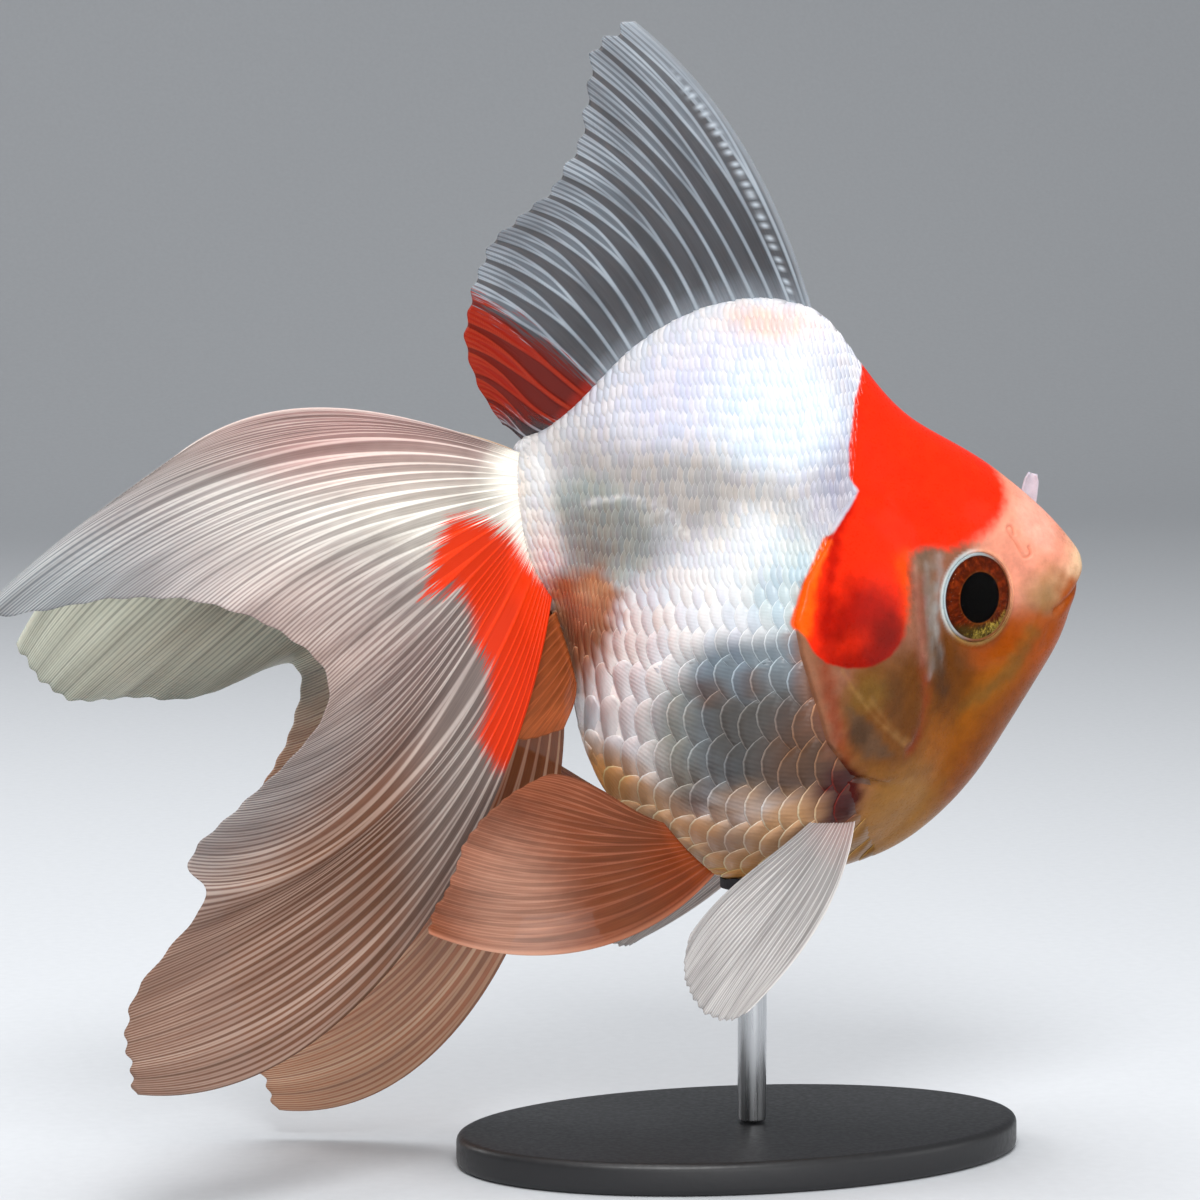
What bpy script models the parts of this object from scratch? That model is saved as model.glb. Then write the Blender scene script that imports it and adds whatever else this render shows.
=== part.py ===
"""A red and white fantail goldfish, life size, held by a plain display stand.

Frame: metres, +Z up, the fish's nose towards +X and its left side towards +Y.
The origin is the middle of the underside of the stand's base.
The tables below are in millimetres and degrees; MM turns millimetres into metres.
"""
import bpy
import bmesh
import numpy as np
from math import atan2, pi, radians
from mathutils import Matrix

MM = 0.001
GAP = 0.3                    # clear space between neighbouring pieces
FIN_THICK = 0.6              # a fin's membrane with its rays
GILL_RAISE = 0.6             # how far a gill cover stands proud of the flank

# ---- body ---------------------------------------------------------------
# One rib for each station from nose to tail base: the outline's upper point (x, z), its
# lower point (x, z), the flank's half width, how sharp the ridge is above and the keel
# below (1 is round), and how far the widest level is lowered.
RIBS = (
    (54.3, 90.0, 54.3, 90.0, 0.0, 1.0, 1.0, 0.00),     # tip of the snout
    (52.5, 93.6, 52.5, 85.0, 4.6, 1.0, 1.0, 0.00),
    (49.2, 97.1, 50.1, 78.4, 8.0, 0.9, 1.0, 0.00),
    (45.0, 100.9, 46.6, 72.2, 10.2, 0.9, 1.0, 0.00),
    (38.0, 106.2, 40.6, 63.0, 12.2, 0.9, 1.0, 0.02),
    (30.4, 110.5, 34.6, 55.1, 14.2, 0.9, 1.0, 0.05),
    (24.2, 114.8, 26.3, 48.0, 15.4, 1.1, 1.1, 0.10),
    (18.2, 122.0, 17.4, 44.4, 15.8, 1.4, 1.1, 0.15),
    (12.0, 129.0, 7.9, 42.5, 15.6, 1.6, 1.1, 0.18),
    (2.4, 131.2, -1.4, 42.6, 15.0, 1.6, 1.1, 0.18),
    (-7.3, 129.4, -10.7, 46.8, 13.6, 1.5, 1.1, 0.15),
    (-16.2, 124.6, -18.8, 53.8, 11.6, 1.4, 1.1, 0.10),
    (-22.8, 118.5, -24.0, 62.6, 9.6, 1.3, 1.2, 0.00),
    (-27.3, 114.2, -26.0, 72.9, 7.8, 1.2, 1.3, 0.00),
    (-32.0, 111.3, -27.6, 81.2, 6.2, 1.0, 1.2, 0.00),
    (-35.4, 109.0, -30.6, 85.6, 4.4, 1.0, 1.0, 0.00),
    (-36.8, 98.0, -36.8, 98.0, 0.0, 1.0, 1.0, 0.00),   # middle of the tail base
)
BELLY_AT = (2.5, 72.0)       # middle of the egg-shaped belly, x and z
BELLY_REACH = (28.5, 31.0)   # its half length and half height
BELLY_HALF_WIDTH = 22.5
BELLY_BLEND = 4.0            # higher makes the belly's edge crisper
BODY_RINGS = 32
BODY_SIDES = 34
CUT_REACH = 40.0             # how far to each side a cut across the body goes

# ---- eyes ---------------------------------------------------------------
EYE_AT = (32.4, 10.2, 86.3)
EYE_RADIUS = 6.9
EYE_DEPTH = 5.0              # half the eyeball's depth across the head
EYE_TURN = 22.0              # the eyes look this far ahead of square
EYE_SIDES = 16
EYE_RINGS = 8

# ---- how the body is parted ---------------------------------------------
# Outlines in x and z, cut straight across the body.
HEAD_OUTLINE = ((24.6, 122.0), (17.0, 106.0), (14.2, 92.0), (14.0, 74.0), (17.0, 58.0), (22.5, 36.0),
                (64.0, 36.0), (64.0, 122.0))
JAW_OUTLINE = ((60.0, 88.6), (54.9, 86.9), (49.6, 83.6), (46.6, 80.0), (46.2, 70.0), (47.5, 62.0),
               (60.0, 62.0))
STALK_OUTLINE = ((-25.0, 124.0), (-20.5, 108.0), (-19.5, 97.0), (-21.5, 86.0), (-25.0, 77.6),
                 (-29.0, 74.0), (-44.0, 74.0), (-44.0, 124.0))
GILL_OUTLINE = ((21.4, 93.5), (17.0, 100.5), (13.0, 101.0), (8.0, 95.1), (3.9, 90.1), (1.8, 84.3),
                (2.4, 79.0), (4.3, 72.5), (7.2, 66.0), (11.1, 61.2), (16.1, 59.6), (23.0, 59.0),
                (26.3, 61.5), (24.4, 68.0), (23.4, 77.0), (22.2, 85.0))
GILL_DEPTH_AT = 9.0          # a gill cover's inner face, from the middle plane

# ---- fins ---------------------------------------------------------------
# root: points (x, y, z) along the fin's base, first ray to last.
# rays: for a few rays, the tip (x, y, z) and the ray's slope at its root and at its tip,
# in degrees above the line that runs straight back.
# lobes: the stretch of the fin that each piece takes, 0 at the first ray and 1 at the last.
# wave: the height of the folds across the fin at its margin, and how many there are.
# size: columns and rows of faces over the whole fin.
HANDLE = 0.36                # how long a ray keeps its first direction, as a part of its length
FOLD_LEAN = 2.0              # how far the folds drift towards the first ray, root to margin, in radians
LEAST_FLAT = 0.05            # least part of a ray's run that stays in its side view
LEAST_COLUMNS = 4
FINS = {
    "dorsal_fin": {
        "root": ((11.6, 0.0, 127.0), (2.5, 0.0, 129.4), (-8.0, 0.0, 127.4), (-18.0, 0.0, 121.0),
                 (-26.0, 0.0, 113.4), (-32.0, 0.0, 109.6)),
        "rays": ((-18.0, 0.0, 173.2, 74, 36), (-24.0, 0.0, 167.0, 66, 36), (-25.2, 0.0, 157.0, 66, 30),
                 (-30.0, 0.0, 147.5, 66, 18), (-37.6, 0.0, 141.0, 60, 14), (-42.4, 0.0, 130.5, 40, 22),
                 (-42.0, 0.0, 121.0, 12, 14), (-37.0, 0.0, 112.6, -10, 14)),
        "wave": (0.7, 3.0), "size": (16, 8), "lobes": {"dorsal_fin": (0.0, 1.0)},
    },
    "pectoral_fin": {
        "root": ((14.2, 13.4, 56.8), (12.8, 14.2, 57.8), (11.0, 14.8, 58.2)),
        "rays": ((-7.6, 30.0, 28.4, -80, -32), (-11.6, 30.0, 27.2, -64, -50), (-15.6, 29.0, 30.6, -52, -46),
                 (-16.3, 27.5, 35.4, -46, -56), (-15.2, 26.0, 39.4, -45, -48)),
        "wave": (0.3, 2.0), "size": (7, 6), "lobes": {"pectoral_fin": (0.0, 1.0)},
    },
    "pelvic_fin": {
        "root": ((-6.0, 6.6, 44.8), (-10.5, 8.4, 48.8), (-14.6, 9.6, 53.4)),
        "rays": ((-54.0, 24.0, 41.4, -42, 28), (-52.2, 23.5, 45.0, -22, 24), (-48.6, 22.5, 52.0, -8, 24),
                 (-43.0, 21.0, 59.0, 8, 20), (-34.0, 18.0, 62.6, 20, 6)),
        "wave": (0.8, 2.5), "size": (10, 7), "lobes": {"pelvic_fin": (0.0, 1.0)},
    },
    "anal_fin": {
        "root": ((-29.2, 1.4, 84.6), (-27.2, 2.0, 78.0), (-26.2, 2.2, 73.6)),
        "rays": ((-41.0, 6.6, 73.4, -34, -46), (-39.6, 7.2, 69.0, -48, -46), (-36.0, 7.2, 66.2, -62, -44),
                 (-29.0, 6.0, 67.4, -86, -60)),
        "wave": (0.3, 1.5), "size": (6, 5), "lobes": {"anal_fin": (0.0, 1.0)},
    },
    "tail_right": {
        "root": ((-33.4, -1.6, 108.0), (-34.6, -2.4, 104.0), (-34.4, -2.8, 98.0), (-33.0, -2.8, 92.0),
                 (-30.0, -2.6, 87.2)),
        "rays": ((-86.0, -11.0, 110.2, 20, -34), (-115.0, -15.5, 88.8, 22, -40), (-98.0, -26.0, 90.4, 6, -34),
                 (-80.0, -32.5, 88.0, -10, -34), (-69.2, -32.0, 79.0, -30, -34),
                 (-76.5, -34.0, 67.6, -42, -8),
                 (-90.0, -38.5, 55.6, -54, 16), (-88.0, -37.0, 49.8, -62, 2), (-97.6, -36.0, 36.0, -70, -14),
                 (-97.3, -30.0, 21.6, -78, 14)),
        "wave": (1.4, 4.5), "size": (22, 10),
        "lobes": {"tail_right_upper": (0.0, 0.44), "tail_right_lower": (0.456, 1.0)},
    },
    "tail_left": {
        "root": ((-33.4, 1.6, 108.0), (-34.6, 2.4, 104.0), (-34.4, 2.8, 98.0), (-33.0, 2.8, 92.0),
                 (-30.0, 2.6, 87.2)),
        "rays": ((-107.8, 16.0, 79.1, 26, -66), (-100.0, 22.0, 70.6, 12, -44), (-90.0, 26.0, 69.8, 0, -40),
                 (-78.0, 29.0, 69.7, -12, -36), (-64.0, 28.0, 74.0, -24, -28), (-66.0, 30.0, 60.0, -42, -14),
                 (-76.0, 32.0, 46.0, -56, 0), (-75.0, 31.0, 38.0, -64, -8), (-73.8, 29.0, 22.0, -84, -20),
                 (-67.6, 26.0, 4.6, -114, 8)),
        "wave": (1.4, 4.0), "size": (22, 10),
        "lobes": {"tail_left_upper": (0.0, 0.44), "tail_left_lower": (0.456, 1.0)},
    },
}
PAIRED_FINS = ("pectoral_fin", "pelvic_fin", "anal_fin")

# ---- nasal flaps ----------------------------------------------------------
# The skin flap between a side's two nostrils: its middle (x, y, z), its size across,
# through and along, its lean forward from upright and its splay outward.
FLAPS = {
    "nasal_flap_right": ((41.6, -9.6, 93.8), (2.4, 0.6, 5.8), -31.0, 60.0),
    "nasal_flap_left": ((48.4, 7.4, 98.8), (3.0, 0.6, 9.4), 14.0, -12.0),
}

# ---- stand ----------------------------------------------------------------
BASE_SIZE = (88.0, 52.0)
BASE_THICK = 5.0
BASE_BEVEL = 1.2
ROD_X = 2.0
ROD_RADIUS = 2.2
PAD_RADIUS = 5.0
PAD_THICK = 3.0
PAD_TOP = 44.5               # the pad's rim before the belly is taken out of it
PAD_SIDES = 32
ROD_SIDES = 24
BASE_SIDES = 36
BEVEL_STEPS = 2
SHARP_ANGLE = radians(40)    # edges sharper than this stay crisp

COLOURS = {                  # base colour (linear red, green, blue), roughness, metallic
    "skin_red": ((0.80, 0.07, 0.01), 0.30, 0.0),
    "skin_white": ((0.72, 0.68, 0.66), 0.30, 0.0),
    "skin_gold": ((0.62, 0.36, 0.16), 0.35, 0.0),
    "fin": ((0.66, 0.60, 0.62), 0.35, 0.0),
    "eye": ((0.02, 0.01, 0.01), 0.05, 0.0),
    "stand_black": ((0.02, 0.02, 0.02), 0.40, 0.0),
    "stand_steel": ((0.56, 0.56, 0.57), 0.30, 1.0),
}


def smooth_line(points, t):
    """Values at t (0 to 1) on the smooth curve through evenly spaced points."""
    points = np.asarray(points, float)
    count = len(points)
    if count < 3:
        mix = np.asarray(t)[..., None]
        return points[0] * (1 - mix) + points[-1] * mix
    matrix = np.eye(count)
    change = np.zeros_like(points)
    for i in range(1, count - 1):
        matrix[i, i - 1:i + 2] = 1, 4, 1
        change[i] = 6 * (points[i - 1] - 2 * points[i] + points[i + 1])
    bend = np.linalg.solve(matrix, change)
    place = np.clip(np.asarray(t, float), 0, 1) * (count - 1)
    low = np.minimum(place.astype(int), count - 2)
    b = (place - low)[..., None]
    a = 1 - b
    return (a * points[low] + b * points[low + 1]
            + ((a ** 3 - a) * bend[low] + (b ** 3 - b) * bend[low + 1]) / 6)


def rib_curve():
    """The ribs with two mirrored ones past each end, so that nose and tail base are round."""
    ribs = np.array(RIBS)

    def mirrored(rib):
        return np.concatenate((rib[2:4], rib[0:2], [-rib[4]], rib[5:]))

    head = [mirrored(ribs[2]), mirrored(ribs[1])]
    tail = [mirrored(ribs[-2]), mirrored(ribs[-3])]
    return np.array(head + list(ribs) + tail)


def body_point(along, around):
    """Body surface in mm: along 0 (nose) to 1 (tail base), around 0 (top) to 2 pi."""
    ribs = rib_curve()
    count = len(ribs) - 1
    rib = smooth_line(ribs, (2 + along * (count - 4)) / count)
    level = np.cos(around)
    upper = (1 + level) / 2
    x = rib[..., 2] + (rib[..., 0] - rib[..., 2]) * upper
    z = rib[..., 3] + (rib[..., 1] - rib[..., 3]) * upper
    sharp = rib[..., 6] + (rib[..., 5] - rib[..., 6]) * upper
    side = np.abs(np.sin(around))
    flank = rib[..., 4] * side ** sharp * (1 - rib[..., 7] * level)
    out = ((x - BELLY_AT[0]) / BELLY_REACH[0]) ** 2 + ((z - BELLY_AT[1]) / BELLY_REACH[1]) ** 2
    belly = BELLY_HALF_WIDTH * np.sqrt(np.clip(1 - out, 0, 1)) * np.sqrt(1 - level ** 6)
    half = (np.abs(flank) ** BELLY_BLEND + belly ** BELLY_BLEND) ** (1 / BELLY_BLEND)
    return np.stack((x, -np.sign(np.sin(around)) * half, z), axis=-1)


def ray_point(fin, across, out):
    """Fin surface in mm: across 0 (first ray) to 1 (last), out 0 (root) to 1 (margin)."""
    root = smooth_line(fin["root"], across)
    keys = smooth_line(fin["rays"], across)
    tip = keys[..., 0:3]
    length = np.linalg.norm(tip - root, axis=-1)
    start = np.radians(keys[..., 3])
    end = np.radians(keys[..., 4])
    spread = (tip[..., 1] - root[..., 1]) / np.maximum(length, 1e-6)
    flat = np.sqrt(np.clip(1 - spread ** 2, LEAST_FLAT, 1))
    leave = np.stack((-np.cos(start) * flat, spread, np.sin(start) * flat), axis=-1)
    arrive = np.stack((-np.cos(end) * flat, spread, np.sin(end) * flat), axis=-1)
    first = root + leave * (HANDLE * length)[..., None]
    second = tip - arrive * (HANDLE * length)[..., None]
    t = out[..., None]
    point = ((1 - t) ** 3 * root + 3 * (1 - t) ** 2 * t * first
             + 3 * (1 - t) * t ** 2 * second + t ** 3 * tip)
    height, waves = fin["wave"]
    point[..., 1] += height * out ** 2 * np.sin(2 * pi * waves * across + FOLD_LEAN * out)
    return point


def new_collection(name):
    group = bpy.data.collections.new(name)
    bpy.context.scene.collection.children.link(group)
    return group


def material(name):
    found = bpy.data.materials.get(name)
    if found:
        return found
    colour, roughness, metallic = COLOURS[name]
    made = bpy.data.materials.new(name)
    made.use_nodes = True
    shader = made.node_tree.nodes["Principled BSDF"]
    shader.inputs["Base Color"].default_value = (*colour, 1.0)
    shader.inputs["Roughness"].default_value = roughness
    shader.inputs["Metallic"].default_value = metallic
    return made


def add_object(name, mesh, group, look=None):
    made = bpy.data.objects.new(name, mesh)
    group.objects.link(made)
    if look:
        mesh.materials.append(material(look))
    return made


def to_mesh(name, shape):
    """Turn a bmesh into a smooth-shaded mesh with its faces pointing out."""
    shape.normal_update()
    bmesh.ops.recalc_face_normals(shape, faces=shape.faces)
    mesh = bpy.data.meshes.new(name)
    shape.to_mesh(mesh)
    shape.free()
    mesh.shade_smooth()
    return mesh


def body_mesh(name, swell):
    """The whole body as one closed mesh, its surface moved out by swell mm."""
    shape = bmesh.new()
    bmesh.ops.create_uvsphere(shape, u_segments=BODY_SIDES, v_segments=BODY_RINGS, radius=1.0)
    for vertex in shape.verts:
        unit = vertex.co.normalized()
        along = np.arccos(np.clip(unit.z, -1, 1)) / pi
        around = atan2(unit.y, unit.x) if 0 < along < 1 else 0.0
        vertex.co = body_point(np.array(along), np.array(around)) * MM
    shape.normal_update()
    bmesh.ops.recalc_face_normals(shape, faces=shape.faces)
    bmesh.ops.triangulate(shape, faces=shape.faces, quad_method="SHORT_EDGE")
    shape.normal_update()
    moves = [vertex.normal * (swell * MM) for vertex in shape.verts]
    for vertex, move in zip(shape.verts, moves):
        vertex.co += move
    return to_mesh(name, shape)


def grown(outline, by):
    """A closed outline with its corners moved out by a distance."""
    points = np.array(outline)
    before = points - np.roll(points, 1, axis=0)
    after = np.roll(points, -1, axis=0) - points
    run = before / np.linalg.norm(before, axis=1)[:, None] + after / np.linalg.norm(after, axis=1)[:, None]
    run /= np.linalg.norm(run, axis=1)[:, None]
    turn = np.sum(points[:, 0] * np.roll(points[:, 1], -1) - points[:, 1] * np.roll(points[:, 0], -1))
    return points + np.sign(turn) * by * np.stack((run[:, 1], -run[:, 0]), axis=1)


def prism(name, outline, near, far, group):
    """A cutter: the outline in x and z, drawn out in y from near to far."""
    shape = bmesh.new()
    ring = [shape.verts.new((x * MM, near * MM, z * MM)) for x, z in outline]
    face = shape.faces.new(ring)
    grown_part = bmesh.ops.extrude_face_region(shape, geom=[face])["geom"]
    for item in grown_part:
        if isinstance(item, bmesh.types.BMVert):
            item.co.y = far * MM
    return hide_cutter(add_object(name, to_mesh(name, shape), group))


def hide_cutter(cutter):
    cutter.hide_render = True
    cutter.display_type = "WIRE"
    return cutter


def boolean(piece, cutter, operation):
    step = piece.modifiers.new(operation.lower() + "_" + cutter.name, "BOOLEAN")
    step.object = cutter
    step.operation = operation
    step.solver = "EXACT"


def eyeball(name, side, grow, group, look=None):
    """A flattened ball; side is -1 for the fish's right and 1 for its left."""
    shape = bmesh.new()
    bmesh.ops.create_uvsphere(shape, u_segments=EYE_SIDES, v_segments=EYE_RINGS, radius=1.0)
    bmesh.ops.rotate(shape, verts=shape.verts, cent=(0, 0, 0),
                     matrix=Matrix.Rotation(pi / 2, 3, "X"))
    wide = (EYE_RADIUS + grow) * MM
    bmesh.ops.scale(shape, verts=shape.verts, vec=(wide, (EYE_DEPTH + grow) * MM, wide))
    made = add_object(name, to_mesh(name, shape), group, look)
    made.location = (EYE_AT[0] * MM, side * EYE_AT[1] * MM, EYE_AT[2] * MM)
    made.rotation_euler = (0.0, 0.0, -side * radians(EYE_TURN))
    return made


def fin_sheet(name, fin, start, stop, side, group):
    """One lobe of a fin as a sheet of even thickness; side -1 mirrors it to the fish's right."""
    columns, rows = fin["size"]
    columns = max(LEAST_COLUMNS, round(columns * (stop - start)))
    shape = bmesh.new()
    bmesh.ops.create_grid(shape, x_segments=columns, y_segments=rows, size=0.5)
    for vertex in shape.verts:
        across = start + (stop - start) * (vertex.co.x + 0.5)
        point = ray_point(fin, np.array(across), np.array(vertex.co.y + 0.5))
        vertex.co = (point[0] * MM, side * point[1] * MM, point[2] * MM)
    made = add_object(name, to_mesh(name, shape), group, "fin")
    thicken = made.modifiers.new("thicken", "SOLIDIFY")
    thicken.thickness = FIN_THICK * MM
    thicken.offset = 0.0
    thicken.use_even_offset = False
    return made


def build_fins(parts, clear, clear_gill):
    for name, fin in FINS.items():
        for lobe, (start, stop) in fin["lobes"].items():
            sides = {"_right": -1, "_left": 1} if name in PAIRED_FINS else {"": 1}
            for ending, side in sides.items():
                made = fin_sheet(lobe + ending, fin, start, stop, side, parts)
                boolean(made, clear_gill if name == "pectoral_fin" else clear, "DIFFERENCE")


def block_and_space(name, outline, cutters):
    """Cutters for one region of the body and for the same region with the gap round it."""
    block = prism("cut_" + name, outline, -CUT_REACH, CUT_REACH, cutters)
    space = prism("cut_" + name + "_space", grown(outline, GAP), -CUT_REACH, CUT_REACH, cutters)
    return block, space


def build_body(parts, cutters):
    head_block, head_space = block_and_space("head", HEAD_OUTLINE, cutters)
    stalk_block, stalk_space = block_and_space("stalk", STALK_OUTLINE, cutters)
    jaw_block, jaw_space = block_and_space("jaw", JAW_OUTLINE, cutters)
    head = add_object("head", body_mesh("head", 0.0), parts, "skin_red")
    trunk = add_object("trunk", body_mesh("trunk", 0.0), parts, "skin_white")
    stalk = add_object("tail_stalk", body_mesh("tail_stalk", 0.0), parts, "skin_white")
    jaw = add_object("lower_jaw", body_mesh("lower_jaw", 0.0), parts, "skin_gold")
    boolean(head, head_block, "INTERSECT")
    boolean(head, jaw_space, "DIFFERENCE")
    boolean(trunk, head_space, "DIFFERENCE")
    boolean(trunk, stalk_space, "DIFFERENCE")
    boolean(stalk, stalk_block, "INTERSECT")
    boolean(jaw, jaw_block, "INTERSECT")
    for ending, side in {"_right": -1, "_left": 1}.items():
        near, far = side * GILL_DEPTH_AT, side * CUT_REACH
        block = prism("cut_gill" + ending, GILL_OUTLINE, near, far, cutters)
        space = prism("cut_gill_space" + ending, grown(GILL_OUTLINE, GAP), near - side * GAP, far, cutters)
        socket = hide_cutter(eyeball("cut_eye" + ending, side, GAP, cutters))
        name = "gill_cover" + ending
        cover = add_object(name, body_mesh(name, GILL_RAISE), parts, "skin_red")
        boolean(cover, block, "INTERSECT")
        boolean(head, space, "DIFFERENCE")
        boolean(trunk, space, "DIFFERENCE")
        boolean(head, socket, "DIFFERENCE")
        eyeball("eye" + ending, side, 0.0, parts, "eye")


def build_flaps(parts, clear):
    """The skin flap between the two nostrils of each side."""
    for name, (middle, size, lean, splay) in FLAPS.items():
        shape = bmesh.new()
        bmesh.ops.create_cube(shape, size=1.0)
        bmesh.ops.scale(shape, verts=shape.verts, vec=[length * MM for length in size])
        made = add_object(name, to_mesh(name, shape), parts, "skin_white")
        made.location = [place * MM for place in middle]
        made.rotation_euler = (radians(splay), radians(lean), 0.0)
        boolean(made, clear, "DIFFERENCE")


def cylinder(name, radius, bottom, top, x, sides, group, look):
    shape = bmesh.new()
    bmesh.ops.create_cone(shape, cap_ends=True, segments=sides, radius1=radius * MM, radius2=radius * MM,
                          depth=(top - bottom) * MM)
    mesh = to_mesh(name, shape)
    mesh.set_sharp_from_angle(angle=SHARP_ANGLE)
    made = add_object(name, mesh, group, look)
    made.location = (x * MM, 0.0, (top + bottom) / 2 * MM)
    return made


def build_stand(parts, clear):
    shape = bmesh.new()
    bmesh.ops.create_cone(shape, cap_ends=True, segments=BASE_SIDES, radius1=1.0, radius2=1.0,
                          depth=BASE_THICK * MM)
    bmesh.ops.scale(shape, verts=shape.verts, vec=(BASE_SIZE[0] / 2 * MM, BASE_SIZE[1] / 2 * MM, 1.0))
    mesh = to_mesh("stand_base", shape)
    mesh.set_sharp_from_angle(angle=SHARP_ANGLE)
    base = add_object("stand_base", mesh, parts, "stand_black")
    base.location = (0.0, 0.0, BASE_THICK / 2 * MM)
    edge = base.modifiers.new("edge", "BEVEL")
    edge.width = BASE_BEVEL * MM
    edge.segments = BEVEL_STEPS
    edge.angle_limit = SHARP_ANGLE
    pad_bottom = PAD_TOP - PAD_THICK
    cylinder("stand_rod", ROD_RADIUS, BASE_THICK + GAP, pad_bottom - GAP, ROD_X, ROD_SIDES, parts,
             "stand_steel")
    pad = cylinder("stand_pad", PAD_RADIUS, pad_bottom, PAD_TOP, ROD_X, PAD_SIDES, parts, "stand_black")
    boolean(pad, clear, "DIFFERENCE")


def main():
    for old in list(bpy.data.objects):
        bpy.data.objects.remove(old, do_unlink=True)
    parts = new_collection("goldfish")
    cutters = new_collection("cutters")
    clear = hide_cutter(add_object("cut_body", body_mesh("cut_body", GAP), cutters))
    gill_clearance = body_mesh("cut_body_gill", GILL_RAISE + GAP)
    clear_gill = hide_cutter(add_object("cut_body_gill", gill_clearance, cutters))
    build_body(parts, cutters)
    build_fins(parts, clear, clear_gill)
    build_flaps(parts, clear)
    build_stand(parts, clear)


main()
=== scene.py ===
"""Looks of a red and white fantail goldfish, modelled life size on a plain display stand.

Laid out as a Blender add-on: one operator for each piece or group of like pieces, with the
sizes and colours that a user would change in property groups. Run as a script, it builds
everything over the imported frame. The tables are in millimetres and degrees, in the frame's
own axes: +X towards the nose, +Y towards the fish's left side, +Z up.
"""
from functools import partial
from math import cos, pi, radians, sin

import bpy
import numpy as np
from bpy.props import FloatProperty, FloatVectorProperty, PointerProperty
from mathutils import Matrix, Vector


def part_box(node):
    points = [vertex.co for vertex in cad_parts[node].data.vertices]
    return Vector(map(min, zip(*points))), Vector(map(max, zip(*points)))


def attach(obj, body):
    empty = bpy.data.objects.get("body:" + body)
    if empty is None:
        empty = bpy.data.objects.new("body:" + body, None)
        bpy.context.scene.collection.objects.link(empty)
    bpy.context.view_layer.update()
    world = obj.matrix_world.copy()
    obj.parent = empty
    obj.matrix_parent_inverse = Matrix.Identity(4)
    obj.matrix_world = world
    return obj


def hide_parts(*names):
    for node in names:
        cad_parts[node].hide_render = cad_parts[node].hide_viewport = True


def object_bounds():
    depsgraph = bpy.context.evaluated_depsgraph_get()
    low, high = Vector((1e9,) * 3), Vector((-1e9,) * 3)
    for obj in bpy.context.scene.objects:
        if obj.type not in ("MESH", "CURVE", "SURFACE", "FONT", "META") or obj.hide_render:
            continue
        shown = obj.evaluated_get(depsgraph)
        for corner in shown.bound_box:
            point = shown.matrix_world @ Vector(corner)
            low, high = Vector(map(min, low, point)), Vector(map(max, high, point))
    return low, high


bl_info = {
    "name": "Fantail goldfish model",
    "version": (1, 0, 0),
    "blender": (4, 5, 0),
    "location": "View3D > Sidebar > Goldfish",
    "description": "Builds the skin, scales, eyes, fins and stand of a life-size fantail goldfish",
    "category": "Object",
}

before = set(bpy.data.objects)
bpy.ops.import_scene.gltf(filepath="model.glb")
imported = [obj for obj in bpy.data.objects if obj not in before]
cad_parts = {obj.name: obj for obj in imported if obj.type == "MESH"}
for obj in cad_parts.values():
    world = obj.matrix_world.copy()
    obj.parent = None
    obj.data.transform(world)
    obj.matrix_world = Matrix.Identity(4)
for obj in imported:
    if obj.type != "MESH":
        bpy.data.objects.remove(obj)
CAD_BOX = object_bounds()

MM = 0.001

# ---- the body's shape, as the solids have it ---------------------------------
# One rib for each station from nose to tail base: the outline's upper point (x, z), its
# lower point (x, z), the flank's half width, how sharp the ridge is above and the keel
# below (1 is round), and how far the widest level is lowered.
RIBS = (
    (54.3, 90, 54.3, 90, 0, 1, 1, 0),
    (52.5, 93.6, 52.5, 85, 4.6, 1, 1, 0),
    (49.2, 97.1, 50.1, 78.4, 8, 0.9, 1, 0),
    (45, 100.9, 46.6, 72.2, 10.2, 0.9, 1, 0),
    (38, 106.2, 40.6, 63, 12.2, 0.9, 1, 0.02),
    (30.4, 110.5, 34.6, 55.1, 14.2, 0.9, 1, 0.05),
    (24.2, 114.8, 26.3, 48, 15.4, 1.1, 1.1, 0.1),
    (18.2, 122, 17.4, 44.4, 15.8, 1.4, 1.1, 0.15),
    (12, 129, 7.9, 42.5, 15.6, 1.6, 1.1, 0.18),
    (2.4, 131.2, -1.4, 42.6, 15, 1.6, 1.1, 0.18),
    (-7.3, 129.4, -10.7, 46.8, 13.6, 1.5, 1.1, 0.15),
    (-16.2, 124.6, -18.8, 53.8, 11.6, 1.4, 1.1, 0.1),
    (-22.8, 118.5, -24, 62.6, 9.6, 1.3, 1.2, 0),
    (-27.3, 114.2, -26, 72.9, 7.8, 1.2, 1.3, 0),
    (-32, 111.3, -27.6, 81.2, 6.2, 1, 1.2, 0),
    (-35.4, 109, -30.6, 85.6, 4.4, 1, 1, 0),
    (-36.8, 98, -36.8, 98, 0, 1, 1, 0),
)
# The belly's mound, an oval in x and z that is blended with the ribs.
BELLY_AT = (2.5, 72.0)
BELLY_REACH = (28.5, 31.0)
BELLY_HALF_WIDTH = 22.5
BELLY_BLEND = 4.0
EYE_AT = (32.4, 10.2, 86.3)  # on the left side
EYE_RADIUS = 6.9
EYE_TURN = radians(22.0)
SIDES = {"_right": -1, "_left": 1}

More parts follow.
